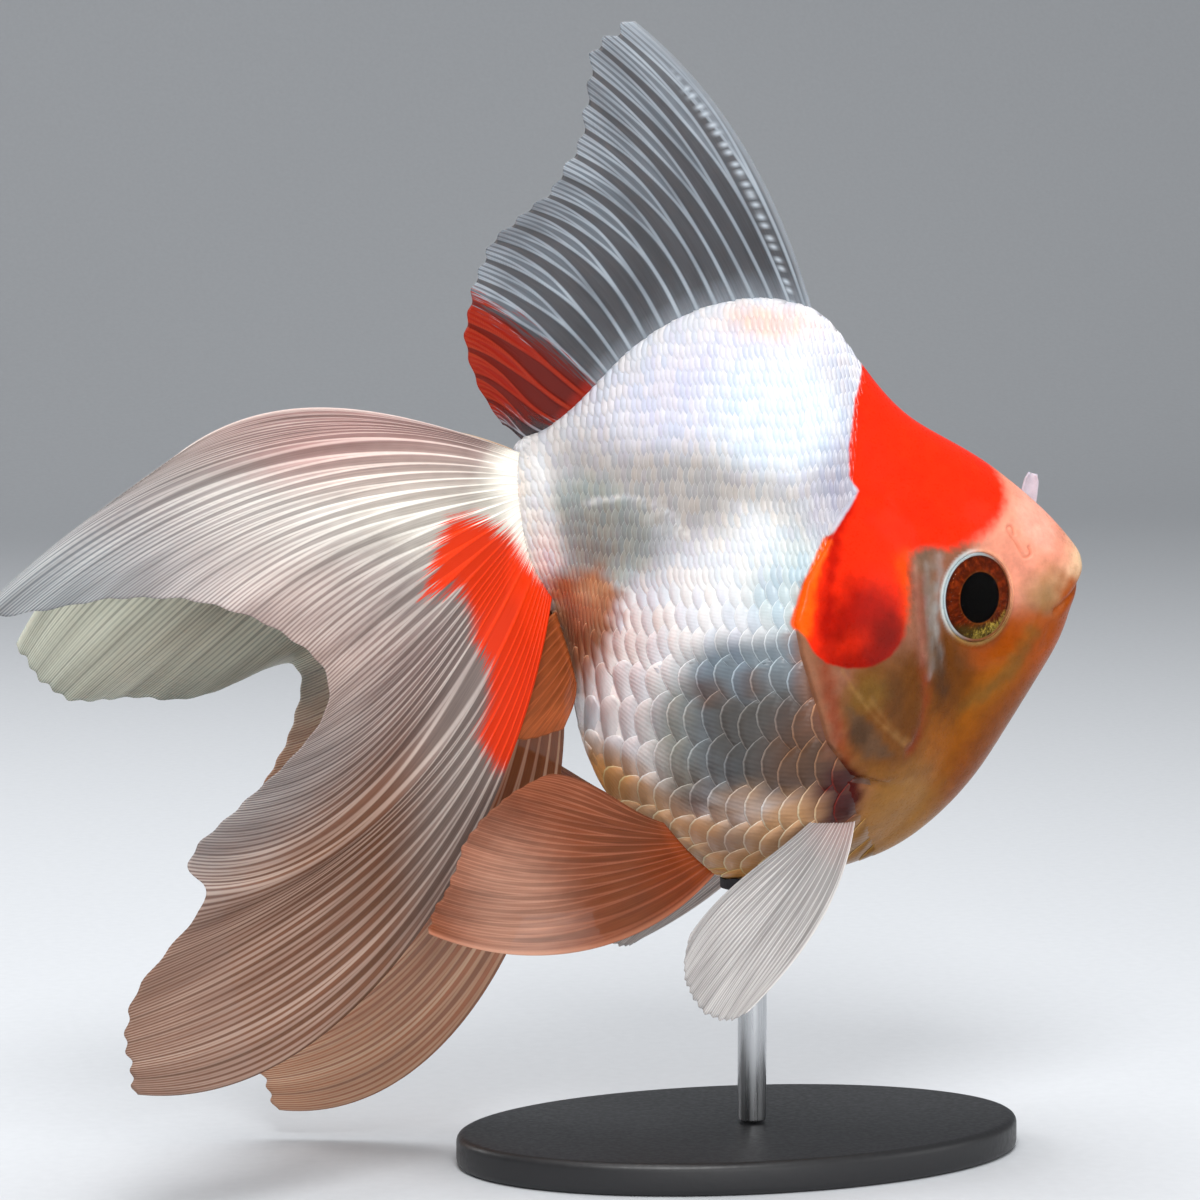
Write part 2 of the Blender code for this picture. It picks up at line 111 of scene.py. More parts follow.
# ---- lines and outlines on the head, in x and z ------------------------------
GILL_REAR = ((10.3, 98.8), (8, 95.1), (3.9, 90.1), (1.7, 84.3), (2.4, 79.6), (3.9, 74.6),
    (6.6, 66.4))
GILL_COVER = ((24, 96), (18.5, 101.5), (13.6, 102), *GILL_REAR, (11.1, 61.3), (16.1, 59.8),
    (21.2, 58.9), (27, 59), (33, 64), (33, 90))
BARE_HEAD = ((20.4, 130), (18.9, 121), (15.6, 115.6), (13.8, 109), (13.4, 104.6), (12.8, 101.6),
    *GILL_REAR, (9.6, 61.6), (11.6, 57.6), (14.6, 53.6), (19, 48), (23, 40), (70, 40), (70, 130))
MOUTH = ((57, 89.4), (53.4, 87.6), (51, 86.2), (48.8, 84.9), (46.9, 83.6))
MOUTH_CREASE = ((46.9, 83.6), (45.9, 81), (45.8, 78.4))
NOSTRIL = ((39.9, 95.4), (39.6, 96.6), (38.9, 96.5), (39.2, 95.4), (40.4, 93.8), (41.2, 92.4),
    (41.9, 91.9), (42.5, 92.4), (42.3, 93.4))
PREOPERCLE = ((21.6, 92), (22.6, 86), (22.9, 78.1), (23.4, 72.9), (22.8, 67.6), (20.6, 64))
GILL_RIDGES = (((8.6, 77), (13, 71), (19.6, 65.4)), ((13.1, 72.6), (16.8, 68.4), (20.9, 65.6)))

# ---- fins, as the solids have them -------------------------------------------
# Root: points (x, y, z) along the base. Rays: each key ray's tip (x, y, z) and the angles at
# which it leaves the root and comes to the tip, above level towards the rear. Wave: height
# and number of the folds across the fin.
HANDLE = 0.36                # how long a key ray keeps to its angles, as part of its length
FOLD_LEAN = 2.0
FINS = {
    "dorsal_fin": {
        "root": ((11.6, 0, 127), (2.5, 0, 129.4), (-8, 0, 127.4), (-18, 0, 121), (-26, 0, 113.4),
            (-32, 0, 109.6)),
        "rays": ((-18, 0, 173.2, 74, 36), (-24, 0, 167, 66, 36), (-25.2, 0, 157, 66, 30),
            (-30, 0, 147.5, 66, 18), (-37.6, 0, 141, 60, 14), (-42.4, 0, 130.5, 40, 22),
            (-42, 0, 121, 12, 14), (-37, 0, 112.6, -10, 14)),
        "wave": (0.7, 3),
    },
    "pectoral_fin": {
        "root": ((14.2, 13.4, 56.8), (12.8, 14.2, 57.8), (11, 14.8, 58.2)),
        "rays": ((-7.6, 30, 28.4, -80, -32), (-11.6, 30, 27.2, -64, -50),
            (-15.6, 29, 30.6, -52, -46), (-16.3, 27.5, 35.4, -46, -56),
            (-15.2, 26, 39.4, -45, -48)),
        "wave": (0.3, 2),
    },
    "pelvic_fin": {
        "root": ((-6, 6.6, 44.8), (-10.5, 8.4, 48.8), (-14.6, 9.6, 53.4)),
        "rays": ((-54, 24, 41.4, -42, 28), (-52.2, 23.5, 45, -22, 24), (-48.6, 22.5, 52, -8, 24),
            (-43, 21, 59, 8, 20), (-34, 18, 62.6, 20, 6)),
        "wave": (0.8, 2.5),
    },
    "anal_fin": {
        "root": ((-29.2, 1.4, 84.6), (-27.2, 2, 78), (-26.2, 2.2, 73.6)),
        "rays": ((-41, 6.6, 73.4, -34, -46), (-39.6, 7.2, 69, -48, -46), (-36, 7.2, 66.2, -62, -44),
            (-29, 6, 67.4, -86, -60)),
        "wave": (0.3, 1.5),
    },
    "tail_right": {
        "root": ((-33.4, -1.6, 108), (-34.6, -2.4, 104), (-34.4, -2.8, 98), (-33, -2.8, 92),
            (-30, -2.6, 87.2)),
        "rays": ((-86, -11, 110.2, 20, -34), (-115, -15.5, 88.8, 22, -40), (-98, -26, 90.4, 6, -34),
            (-80, -32.5, 88, -10, -34), (-69.2, -32, 79, -30, -34), (-76.5, -34, 67.6, -42, -8),
            (-90, -38.5, 55.6, -54, 16), (-88, -37, 49.8, -62, 2), (-97.6, -36, 36, -70, -14),
            (-97.3, -30, 21.6, -78, 14)),
        "wave": (1.4, 4.5),
    },
    "tail_left": {
        "root": ((-33.4, 1.6, 108), (-34.6, 2.4, 104), (-34.4, 2.8, 98), (-33, 2.8, 92),
            (-30, 2.6, 87.2)),
        "rays": ((-107.8, 16, 79.1, 26, -66), (-100, 22, 70.6, 12, -44), (-90, 26, 69.8, 0, -40),
            (-78, 29, 69.7, -12, -36), (-64, 28, 74, -24, -28), (-66, 30, 60, -42, -14),
            (-76, 32, 46, -56, 0), (-75, 31, 38, -64, -8), (-73.8, 29, 22, -84, -20),
            (-67.6, 26, 4.6, -114, 8)),
        "wave": (1.4, 4),
    },
}


# ---- small tools -------------------------------------------------------------
FAR = 1e9


def linear(code):
    """An sRGB hex colour as linear red, green and blue."""
    parts = [int(code[i:i + 2], 16) / 255 for i in (1, 3, 5)]
    return tuple(c / 12.92 if c <= 0.04045 else ((c + 0.055) / 1.055) ** 2.4 for c in parts)


def soft(value, low, high):
    """A smooth step from 0 at low to 1 at high."""
    t = np.clip((value - low) / (high - low), 0.0, 1.0)
    return t * t * (3 - 2 * t)


def hump(value, middle, width):
    """A bell, 1 at the middle and near nothing two widths away."""
    return np.exp(-((value - middle) / width) ** 2)


def smooth_line(points, t):
    """Values at t (0 to 1) on the smooth curve through evenly spaced points."""
    points = np.asarray(points, float)
    count = len(points)
    if count < 3:
        mix = np.asarray(t)[..., None]
        return points[0] * (1 - mix) + points[-1] * mix
    matrix = np.eye(count)
    change = np.zeros_like(points)
    for i in range(1, count - 1):
        matrix[i, i - 1:i + 2] = 1, 4, 1
        change[i] = 6 * (points[i - 1] - 2 * points[i] + points[i + 1])
    bend = np.linalg.solve(matrix, change)
    place = np.clip(np.asarray(t, float), 0, 1) * (count - 1)
    low = np.minimum(place.astype(int), count - 2)
    b = (place - low)[..., None]
    a = 1 - b
    return (a * points[low] + b * points[low + 1]
            + ((a ** 3 - a) * bend[low] + (b ** 3 - b) * bend[low + 1]) / 6)


def to_line(x, z, line, smooth=True):
    """Distance in mm from each (x, z) to an open line."""
    points = smooth_line(line, np.linspace(0, 1, 6 * len(line))) if smooth else np.array(line)
    nearest = np.full(np.shape(x), FAR)
    for (ax, az), (bx, bz) in zip(points[:-1], points[1:]):
        run = (bx - ax) ** 2 + (bz - az) ** 2
        t = np.clip(((x - ax) * (bx - ax) + (z - az) * (bz - az)) / run, 0, 1)
        nearest = np.minimum(nearest, np.hypot(x - ax - t * (bx - ax), z - az - t * (bz - az)))
    return nearest


def inside(x, z, outline):
    """Signed distance in mm to a closed outline, above 0 inside it."""
    ring = np.array(outline + outline[:1])
    within = np.zeros(np.shape(x), bool)
    for (ax, az), (bx, bz) in zip(ring[:-1], ring[1:]):
        if az != bz:
            crosses = ((az > z) != (bz > z)) & (x < (bx - ax) * (z - az) / (bz - az) + ax)
            within ^= crosses
    return np.where(within, 1.0, -1.0) * to_line(x, z, ring, smooth=False)


def oval(x, z, middle, reach, lean=0.0):
    """Signed distance in mm, roughly, to an oval, above 0 inside it."""
    c, s = cos(radians(lean)), sin(radians(lean))
    dx, dz = x - middle[0], z - middle[1]
    r = np.hypot((dx * c + dz * s) / reach[0], (dz * c - dx * s) / reach[1])
    return (1 - r) * min(reach)


def rib_curve():
    """The ribs with two mirrored ones past each end, so that nose and tail base are round."""
    ribs = np.array(RIBS)

    def mirrored(rib):
        return np.concatenate((rib[2:4], rib[0:2], [-rib[4]], rib[5:]))

    head = [mirrored(ribs[2]), mirrored(ribs[1])]
    tail = [mirrored(ribs[-2]), mirrored(ribs[-3])]
    return np.array(head + list(ribs) + tail)


def body_point(along, around):
    """Body surface in mm: along 0 (nose) to 1 (tail base), around 0 (top) to 2 pi."""
    ribs = rib_curve()
    count = len(ribs) - 1
    rib = smooth_line(ribs, (2 + along * (count - 4)) / count)
    level = np.cos(around)
    upper = (1 + level) / 2
    x = rib[..., 2] + (rib[..., 0] - rib[..., 2]) * upper
    z = rib[..., 3] + (rib[..., 1] - rib[..., 3]) * upper
    sharp = rib[..., 6] + (rib[..., 5] - rib[..., 6]) * upper
    side = np.abs(np.sin(around))
    flank = rib[..., 4] * side ** sharp * (1 - rib[..., 7] * level)
    out = ((x - BELLY_AT[0]) / BELLY_REACH[0]) ** 2 + ((z - BELLY_AT[1]) / BELLY_REACH[1]) ** 2
    belly = BELLY_HALF_WIDTH * np.sqrt(np.clip(1 - out, 0, 1)) * np.sqrt(1 - level ** 6)
    half = (np.abs(flank) ** BELLY_BLEND + belly ** BELLY_BLEND) ** (1 / BELLY_BLEND)
    return np.stack((x, -np.sign(np.sin(around)) * half, z), axis=-1)


def body_normal(along, around):
    """Unit vectors out of the body's surface."""
    step = 2e-3
    a = np.clip(along, 2 * step, 1 - 2 * step)
    back = body_point(a + step, around) - body_point(a - step, around)
    down = body_point(a, around + step) - body_point(a, around - step)
    out = np.cross(back, down)
    return out / np.maximum(np.linalg.norm(out, axis=-1, keepdims=True), 1e-9)


def ray_point(fin, across, out):
    """Fin surface in mm: across 0 (first ray) to 1 (last), out 0 (root) to 1 (margin)."""
    root = smooth_line(fin["root"], across)
    keys = smooth_line(fin["rays"], across)
    tip = keys[..., 0:3]
    length = np.linalg.norm(tip - root, axis=-1)
    start = np.radians(keys[..., 3])
    end = np.radians(keys[..., 4])
    spread = (tip[..., 1] - root[..., 1]) / np.maximum(length, 1e-6)
    flat = np.sqrt(np.clip(1 - spread ** 2, 0.05, 1))
    leave = np.stack((-np.cos(start) * flat, spread, np.sin(start) * flat), axis=-1)
    arrive = np.stack((-np.cos(end) * flat, spread, np.sin(end) * flat), axis=-1)
    first = root + leave * (HANDLE * length)[..., None]
    second = tip - arrive * (HANDLE * length)[..., None]
    t = out[..., None]
    point = ((1 - t) ** 3 * root + 3 * (1 - t) ** 2 * t * first
             + 3 * (1 - t) * t ** 2 * second + t ** 3 * tip)
    height, waves = fin["wave"]
    point[..., 1] += height * out ** 2 * np.sin(2 * pi * waves * across + FOLD_LEAN * out)
    return point


# ---- markings ----------------------------------------------------------------
# The body's settings give five more: pearl, cap, flap, snout and peach.
COLOURS = {
    "lilac": "#E2E0F2", "ice": "#E8F2FC", "blush": "#F8CDB8", "nape": "#8A869E", "band": "#A59C95",
    "steel": "#78848C", "slate": "#504C48", "umber": "#5E3C24", "pinkish": "#F6EEEA",
    "ochre": "#E29A50", "flesh": "#865640", "chin": "#7A3E04", "stalk": "#A4ADA6",
    # bright is the colour of painted highlights.
    "rust": "#AE6C42", "bright": "#FEFDFC", "apricot": "#EFBDA2", "cream": "#F8D0A4",
    "orange": "#9C460A", "gold": "#8E4E08", "brown": "#5C320A", "throat": "#94642A",
    "copper": "#883C06", "smoke": "#6C5646", "rose": "#B48A78", "tan": "#6A3E14", "dark": "#5A4230",
    "rim": "#805220", "ridge": "#B08450", "maroon": "#440A04", "brick": "#7E3018",
    "haze": "#94683E", "line": "#C86A4C", "crimson": "#A80E02", "hollow": "#86847E",
    "olive": "#7E7F72", "teal": "#B4CACE", "ash": "#8A5A40", "pink": "#EEAC9A", "moss": "#6C5224",
    "silver": "#A8A8A8", "soot": "#3E2A1C", "deep": "#8E0A02", "wine": "#700A00",
    "orbit_above": "#E59C7C", "orbit_below": "#8E6A3A", "orbit_rear": "#C9D2D2",
}
# Colour, strength, softness in mm, and a shape: an oval (middle, reach, lean), a line
# (points, half width) or an area (outline). Later ones lie over earlier ones.
MARKINGS = (
    ("band", 0.85, 9, "oval", (-12, 103), (22, 7), -14),
    ("nape", 0.75, 8, "oval", (12, 109), (5, 14), -4),
    ("lilac", 0.85, 7, "oval", (-6, 119), (16, 7), 22),
    ("ice", 0.9, 7, "oval", (3, 114), (10, 8)),
    ("blush", 0.8, 3, "oval", (3.4, 127.4), (7, 2.4), -4),
    ("stalk", 0.9, 5, "oval", (-26, 96), (9, 9)),
    # Painted shade: the stalk's hollow, darkened.
    ("hollow", 0.8, 6, "oval", (-22.5, 97), (8, 4.6), -14),
    ("teal", 0.75, 6, "oval", (1, 90), (6.5, 7.5)),
    ("olive", 0.9, 6, "area", ((-18, 75), (-10, 80), (-8, 60), (-14, 56), (-19.4, 60))),
    ("steel", 1, 5, "area", ((-15, 79.6), (-8, 82), (4, 83), (9, 74), (12, 60), (4, 57), (-7, 56.5),
        (-13, 64))),
    ("slate", 0.95, 6, "area", ((-12, 73.6), (4, 76), (9, 70), (12, 62), (4, 60.5), (-7, 58),
        (-11.5, 65))),
    ("slate", 0.8, 2, "oval", (-11.6, 56.6), (1.2, 2.8), 8),
    ("slate", 0.8, 2, "oval", (-8.4, 55.8), (1.1, 2.6), 8),
    ("umber", 0.85, 6, "oval", (5, 64), (7, 9)),
    ("umber", 0.6, 2, "oval", (-10.5, 74.6), (2.4, 2)),
    ("umber", 0.6, 2, "oval", (-4.6, 75.6), (2, 1.8)),
    ("umber", 0.35, 3, "oval", (-24.6, 93.4), (3.4, 2.2)),
    # Painted highlight: the lit shoulder, a white streak down the belly's upper rear edge.
    ("bright", 0.8, 7, "line", ((-2, 97), (-8.5, 91.5), (-14.5, 85), (-19, 78)), 3.6),
    # Painted highlight: a thin glint along the lateral line on the stalk.
    ("bright", 0.6, 0.9, "line", ((-26.5, 101), (-21, 102.2), (-16.5, 101), (-13.7, 98.8),
        (-12.5, 96.6)), 0.2),
    # Painted highlight along the belly's rear edge, in near-white.
    ("pinkish", 0.95, 4.5, "line", ((-18.6, 83), (-21.6, 76), (-21.6, 68), (-18.6, 61)), 2.6),
    ("peach", 0.95, 5, "area", ((-27, 67), (-20, 61.6), (-12, 55.6), (-4, 55), (2, 58), (8, 59),
        (13, 56), (20, 50), (20, 36), (-34, 36), (-32, 56))),
    ("ochre", 0.7, 4, "oval", (-23, 59), (4, 5)),
    ("umber", 0.35, 4, "oval", (-12.6, 59), (5, 3.2), -20),
    ("steel", 0.45, 3, "oval", (-5.6, 51), (2.6, 3.4)),
    ("peach", 0.5, 3, "oval", (-4.6, 58), (3, 2.4)),
    ("ochre", 0.85, 5, "oval", (-2, 40.5), (30, 6.5)),
    ("rust", 0.95, 3, "area", ((-31, 90), (-24.6, 91.6), (-21.6, 88), (-22.4, 82.6), (-24.6, 77),
        (-26.6, 71), (-30, 78))),
    ("cream", 0.3, 2.4, "oval", (-26, 88), (1.8, 1.4), 30),
    ("umber", 0.4, 2.4, "oval", (-24.6, 82), (1.4, 3), -30),
    # Painted highlight where the stalk meets the tail.
    ("bright", 0.9, 3, "line", ((-33.5, 106), (-33, 99), (-31.5, 93)), 2.4),
    ("apricot", 0.85, 3, "line", ((-38, 108), (-37, 100), (-36, 92)), 1.6),
    ("flesh", 1, 1.5, "area", ((9, 96.6), *GILL_REAR[2:], (9.6, 61.6), (12.6, 55.6), (19, 46),
        (23, 38), (70, 38), (70, 100), (30, 98))),
    ("throat", 1, 8, "oval", (26, 54), (14, 12), 30),
    ("gold", 1, 7, "oval", (34, 70), (13, 12), 40),
    ("cream", 1, 5, "oval", (50, 92), (9, 8)),
    ("snout", 1, 6, "oval", (42.5, 98), (10, 11), 20),
    ("snout", 0.8, 4, "oval", (40, 89), (3, 6)),
    ("pink", 0.55, 3, "oval", (44.6, 97.6), (3.4, 4.6), 30),
    # Painted shade at the mouth's corner, where the lip folds: a greyish patch, darker in its
    # middle.
    ("haze", 0.7, 3.5, "oval", (46, 86.6), (3.6, 4.2)),
    ("moss", 0.4, 2.5, "oval", (45.4, 86), (1.6, 2.2)),
    ("orange", 1, 4, "line", ((52, 83.6), (49.6, 78.6), (46, 72), (41, 65), (36, 58)), 5.2),
    # The chin's own orange-brown, painted darker below as shade.
    ("chin", 0.9, 7, "oval", (39, 62), (8, 14), -38),
    ("orange", 0.9, 4, "oval", (42, 79.6), (4.6, 4)),
    ("copper", 0.95, 4, "oval", (34.5, 77.5), (9, 3.6), 14),
    ("gold", 0.85, 3, "oval", (33, 71.6), (8, 3), 30),
    # Painted shade along the crease that runs back under the eye.
    ("moss", 0.55, 2, "line", ((43, 80.6), (40, 76), (35.6, 72.4), (30.4, 70)), 1.1),
    ("brown", 0.95, 5, "oval", (27.6, 75), (4.8, 7)),
    ("tan", 0.95, 4, "oval", (16.5, 70), (8, 9.5), 10),
    ("moss", 0.6, 3, "oval", (12.6, 73.4), (3.6, 2.6), 20),
    ("soot", 0.4, 2.6, "oval", (17.6, 72.6), (1.8, 4.6)),
    ("brown", 0.75, 3, "line", ((20.4, 78), (21, 72), (20.6, 67)), 1.6),
    ("smoke", 0.95, 2.6, "line", ((24.4, 93.4), (24.2, 88), (24.4, 82), (25, 77)), 1.6),
    ("silver", 0.5, 1.6, "line", ((26.4, 92.4), (25.9, 87), (25.8, 82), (26.6, 77)), 0.25),
    ("silver", 0.4, 1.2, "line", ((24.4, 92), (24.2, 86), (24.6, 79), (24.2, 75)), 0.15),
    ("hollow", 0.4, 1.6, "oval", (25.6, 84.6), (0.8, 5)),
    ("rose", 0.55, 1.6, "line", ((22.8, 91.4), (22.5, 87), (22.6, 82), (23, 78)), 0.5),
    ("brick", 0.45, 1.8, "line", ((23.6, 90.4), (23.4, 86), (23.6, 80)), 0.3),
    ("soot", 0.75, 2.4, "line", ((25.6, 79.4), (26.2, 76), (27, 73)), 0.9),
    ("dark", 0.9, 1.6, "area", ((9.4, 72), (10.2, 67.4), (12.8, 64), (18, 63.6), (14.4, 68.2))),
    ("soot", 0.6, 1.6, "oval", (11.4, 67.6), (1.6, 2.6), -30),
    ("rim", 0.85, 2.4, "line", ((9, 65.4), (11.4, 62.4), (15, 61.2), (20, 60.6), (25, 60.4)), 1),
    ("ridge", 0.32, 1.2, "line", GILL_RIDGES[0], 0.22),
    ("ridge", 0.2, 1.2, "line", GILL_RIDGES[1], 0.2),
    ("brick", 0.65, 2.4, "line", PREOPERCLE, 0.6),
    ("ash", 0.85, 2, "line", ((3, 82), (3.2, 78.6), (4.2, 74), (6, 68.6)), 1.5),
    ("brick", 0.65, 2, "line", ((6, 79), (6.6, 74), (8, 68), (9.8, 63.6)), 0.9),
    ("maroon", 1, 2.6, "area", ((9, 64), (5.6, 59.6), (7, 51.4), (13, 52.6), (13.8, 58),
        (12.4, 61.8))),
    ("line", 0.6, 0.5, "line", NOSTRIL, 0.14),
    ("orange", 0.45, 1.2, "line", MOUTH, 0.2),
)
CAP = ((20.4, 130), (19.4, 122.6), (15.6, 116), (13.6, 109), (13.2, 104.6), (14.6, 102.7),
    (12.6, 100), (9.2, 96.4), (7.9, 96.3), (3.9, 90.3), (1, 84), (3, 82.4), (4.2, 80), (6, 78.4),
    (9.4, 77.4), (13.4, 77.4), (16.6, 78.6), (19.2, 81), (20.6, 85), (21.2, 89.4), (22, 93.4),
    (25, 94.2), (28, 93.8), (31.4, 94.6), (34.8, 95.6), (37.4, 97.6), (39.2, 100), (39.8, 102.4),
    (39.4, 105.4), (38, 109), (42, 130))
CAP_SOFTNESS = 0.45          # mm over which the cap's edge fades on the flank
CAP_FRONT_SOFTNESS = 2.4     # and towards the snout
CAP_LIMIT = 3.0
RED_MARKINGS = (
    ("flap", 0.55, 3, "line", ((21, 92), (21.4, 87), (20.6, 82)), 1.6),
    ("crimson", 0.9, 2, "line", ((12.6, 100.4), (10, 96.6), (8.2, 92), (7.2, 87), (6, 82)), 0.9),
    # deep and the wine patches after it: the lobe's deeper red, partly its own colour and partly
    # painted shade darkening its lower part.
    ("deep", 0.9, 5.5, "area", ((8, 87), (11, 90), (15, 89), (19, 87), (20, 82), (17, 77), (11, 75),
        (5, 77), (5.6, 82), (6.6, 85.6))),
    ("wine", 0.7, 3.6, "oval", (13.8, 80), (6.4, 3.6)),
    # Painted highlight: a soft spot of brighter red on the lobe.
    ("cap", 0.4, 2.4, "oval", (11.6, 81.4), (2.2, 1.7), 20),
    ("wine", 0.6, 2, "oval", (16.4, 82.6), (2.6, 2), 30),
    # Painted highlight: a second soft spot of brighter red on the lobe.
    ("cap", 0.3, 2, "oval", (8, 80), (1.8, 1.4)),
    ("flap", 1, 0.9, "area", ((8.6, 95.4), (6.4, 91.6), (5, 88), (4.2, 82.6), (1, 80), (-1, 86),
        (2.6, 92.6), (7.4, 97.4))),
)


def wobble(x, z):
    """A gentle unevenness, about 1 mm either way, so that no marking has a drawn edge."""
    return 0.4 * (np.sin(1.31 * x + 2.13 * z) + np.sin(1.73 * z - 2.27 * x + 1.0)
                  + np.sin(0.71 * x + 0.53 * z + 2.0))


def cover(x, z, shape, data):
    """Signed distance in mm to a marking's shape, above 0 inside it."""
    if shape == "oval":
        return oval(x, z, *data)
    if shape == "line":
        return data[1] - to_line(x, z, data[0])
    return inside(x, z, data[0])


def paint(x, z, base, layers, palette):
    """Linear colours at each (x, z): the base with the layers laid over it."""
    colour = np.tile(np.array(base, float), (len(x), 1))
    uneven = wobble(x, z)
    for name, strength, softness, shape, *data in layers:
        edge = cover(x, z, shape, data) + uneven * min(softness / 4, 0.5)
        amount = strength * soft(edge, -softness / 2, softness / 2)
        colour += (np.array(palette[name]) - colour) * amount[:, None]
    return colour


def cap_edge(x, z):
    """Signed distance to the red cap's edge, in units of its softness there."""
    softness = CAP_SOFTNESS + (CAP_FRONT_SOFTNESS - CAP_SOFTNESS) * soft(x, 20.0, 36.0)
    softness += 1.5 * hump(x, 22.5, 3.5) * soft(98.0 - z, 0.0, 6.0)
    return np.clip(inside(x, z, CAP) / softness, -CAP_LIMIT, CAP_LIMIT)


# ---- making pieces -----------------------------------------------------------
def begin(primitive, name, **sizes):
    """Adds a primitive with nothing else selected, named and ready to shape."""
    bpy.ops.object.select_all(action="DESELECT")
    primitive(**sizes)
    made = bpy.context.object
    made.name = name
    made.data.name = name
    return made


def read_points(mesh):
    flat = np.empty(len(mesh.vertices) * 3)
    mesh.vertices.foreach_get("co", flat)
    return flat.reshape(-1, 3)


def write_points(mesh, points):
    """Puts the vertices at these places, given in mm."""
    mesh.vertices.foreach_set("co", (points * MM).astype(np.float32).ravel())
    mesh.update()


def note(mesh, name, values):
    """Keeps a number or a colour at each vertex, for the material to read."""
    values = np.asarray(values, np.float32)
    if values.ndim == 1:
        mesh.attributes.new(name, "FLOAT", "POINT").data.foreach_set("value", values)
    else:
        full = np.concatenate((values, np.ones((len(values), 1), np.float32)), axis=1)
        mesh.attributes.new(name, "FLOAT_COLOR", "POINT").data.foreach_set("color", full.ravel())


def add_uv(mesh, name, values):
    """A UV map from a pair of numbers at each vertex."""
    index = np.empty(len(mesh.loops), np.int32)
    mesh.loops.foreach_get("vertex_index", index)
    layer = mesh.uv_layers.new(name=name)
    layer.uv.foreach_set("vector", values[index].astype(np.float32).ravel())


def pick(made):
    """Selects one object and nothing else, and makes it the active one."""
    bpy.ops.object.select_all(action="DESELECT")
    made.select_set(True)
    bpy.context.view_layer.objects.active = made


def apply_step(made, kind, **settings):
    """Adds a modifier with its settings and applies it."""
    step = made.modifiers.new(kind.lower(), kind)
    for name, value in settings.items():
        setattr(step, name, value)
    pick(made)
    bpy.ops.object.modifier_apply(modifier=step.name)


def edit(made, operator, **settings):
    """Runs an edit-mode operator with its settings on the whole mesh."""
    pick(made)
    bpy.ops.object.mode_set(mode="EDIT")
    bpy.ops.mesh.select_all(action="SELECT")
    operator(**settings)
    bpy.ops.object.mode_set(mode="OBJECT")


def hand_over(made, look, slot, *nodes):
    """Gives a finished piece its material and its place in the frame."""
    made.data.materials.clear()
    made.data.materials.append(look)
    made.data.shade_smooth()
    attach(made, "root")
    if nodes:
        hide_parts(*nodes)


# ---- skin --------------------------------------------------------------------
SKIN_FACES = 208             # round the body and along it, before the head is refined
DETAIL_REACH = (2.0, 0.9)    # how near the head's details the faces are halved, in turn
EYE_EDGE = 6.7               # from the eye's axis to the skin's edge round the ball
EYE_BACK = -4.0              # along the axis, where what belongs to the eye ends
HEAD_REAR = -1.0             # no detail of the head lies behind this x
BOX_CLEARANCE = 0.04         # how far the nose stays inside the solids' box
BARE_DEPTH = 0.06            # how far the skin lies inside the body where no scales cover it
# Relief of the head: a line, the height beside it (below 0 for a groove), how far from the
# line and how wide.
HEAD_RELIEF = (
    (PREOPERCLE, -0.22, 0, 0.7), (GILL_RIDGES[0], 0.14, 0, 0.6), (GILL_RIDGES[1], 0.14, 0, 0.6),
    (MOUTH, 0.16, 1.1, 0.8), (MOUTH_CREASE, -0.14, 0, 0.8), (NOSTRIL, 0.1, 0.5, 0.3),
    (NOSTRIL, -0.2, 0, 0.2),
)
MOUTH_WIDTH = 0.42
HEAD_STEP = (-0.1, 0.5)      # over what distance across its outline the bare head rises
GILL_STEP = (-0.05, 0.45)    # and the gill cover
GILL_EDGE = ((0.14, 1.5, 1.1), (-0.3, -0.5, 0.45))      # its swelling, and the slit behind it
GILL_FRONT = (26.0, 13.0)    # from which x to the rear it comes out of the head, over how far
GILL_TOP = (104.0, 5.0)      # and from which z down
# The skin round an eye, by distance from the eye's axis.
ORBIT_LEVEL = 2.35           # how far out it stands from the eye's middle
ORBIT_RIM = (0.22, 7.1, 0.4)     # height, place and width of the rim round the ball
ORBIT_HOLLOW = (3.8, 5.9, 6.8)   # depth under the ball, and where the slope starts and ends
ORBIT_BLEND = (7.3, 11.5)    # from where to where it goes over into the body's own shape
ORBIT_COLOUR = (7.6, 7.0)    # from where to where it takes the rim's colours


def sphere_place(mesh):
    """Along and around for each vertex of a sphere that stands for the body."""
    unit = read_points(mesh)
    unit /= np.linalg.norm(unit, axis=1, keepdims=True)
    along = np.arccos(np.clip(unit[:, 2], -1, 1)) / pi
    around = np.arctan2(unit[:, 1], unit[:, 0])
    around[np.hypot(unit[:, 0], unit[:, 1]) < 1e-6] = 0.0
    return along, around


def eye_axes(side):
    """An eye's middle, its forward and outward directions; side -1 is the fish's right."""
    middle = np.array((EYE_AT[0], side * EYE_AT[1], EYE_AT[2]))
    forward = np.array((cos(EYE_TURN), -side * sin(EYE_TURN), 0.0))
    outward = np.array((sin(EYE_TURN), side * cos(EYE_TURN), 0.0))
    return middle, forward, outward


def near_eye(points):
    """For points folded to the left side: distance from the eye's axis and height along it."""
    middle, forward, outward = eye_axes(1)
    away = points * (1, 0, 1) + np.abs(points) * (0, 1, 0) - middle
    return np.hypot(away @ forward, away[:, 2]), away @ outward


def detail_distance(points):
    """Distance in mm from each body point to the nearest fine detail of the head."""
    x, z = points[:, 0], points[:, 2]
    radius, height = near_eye(points)
    nearest = np.where(height > EYE_BACK, np.abs(radius - EYE_EDGE), FAR)
    rear_edge = GILL_COVER[2:12]
    for line in (MOUTH, MOUTH_CREASE, NOSTRIL, *GILL_RIDGES, rear_edge):
        nearest = np.minimum(nearest, to_line(x, z, line))
    return np.where(x > HEAD_REAR, nearest, FAR)


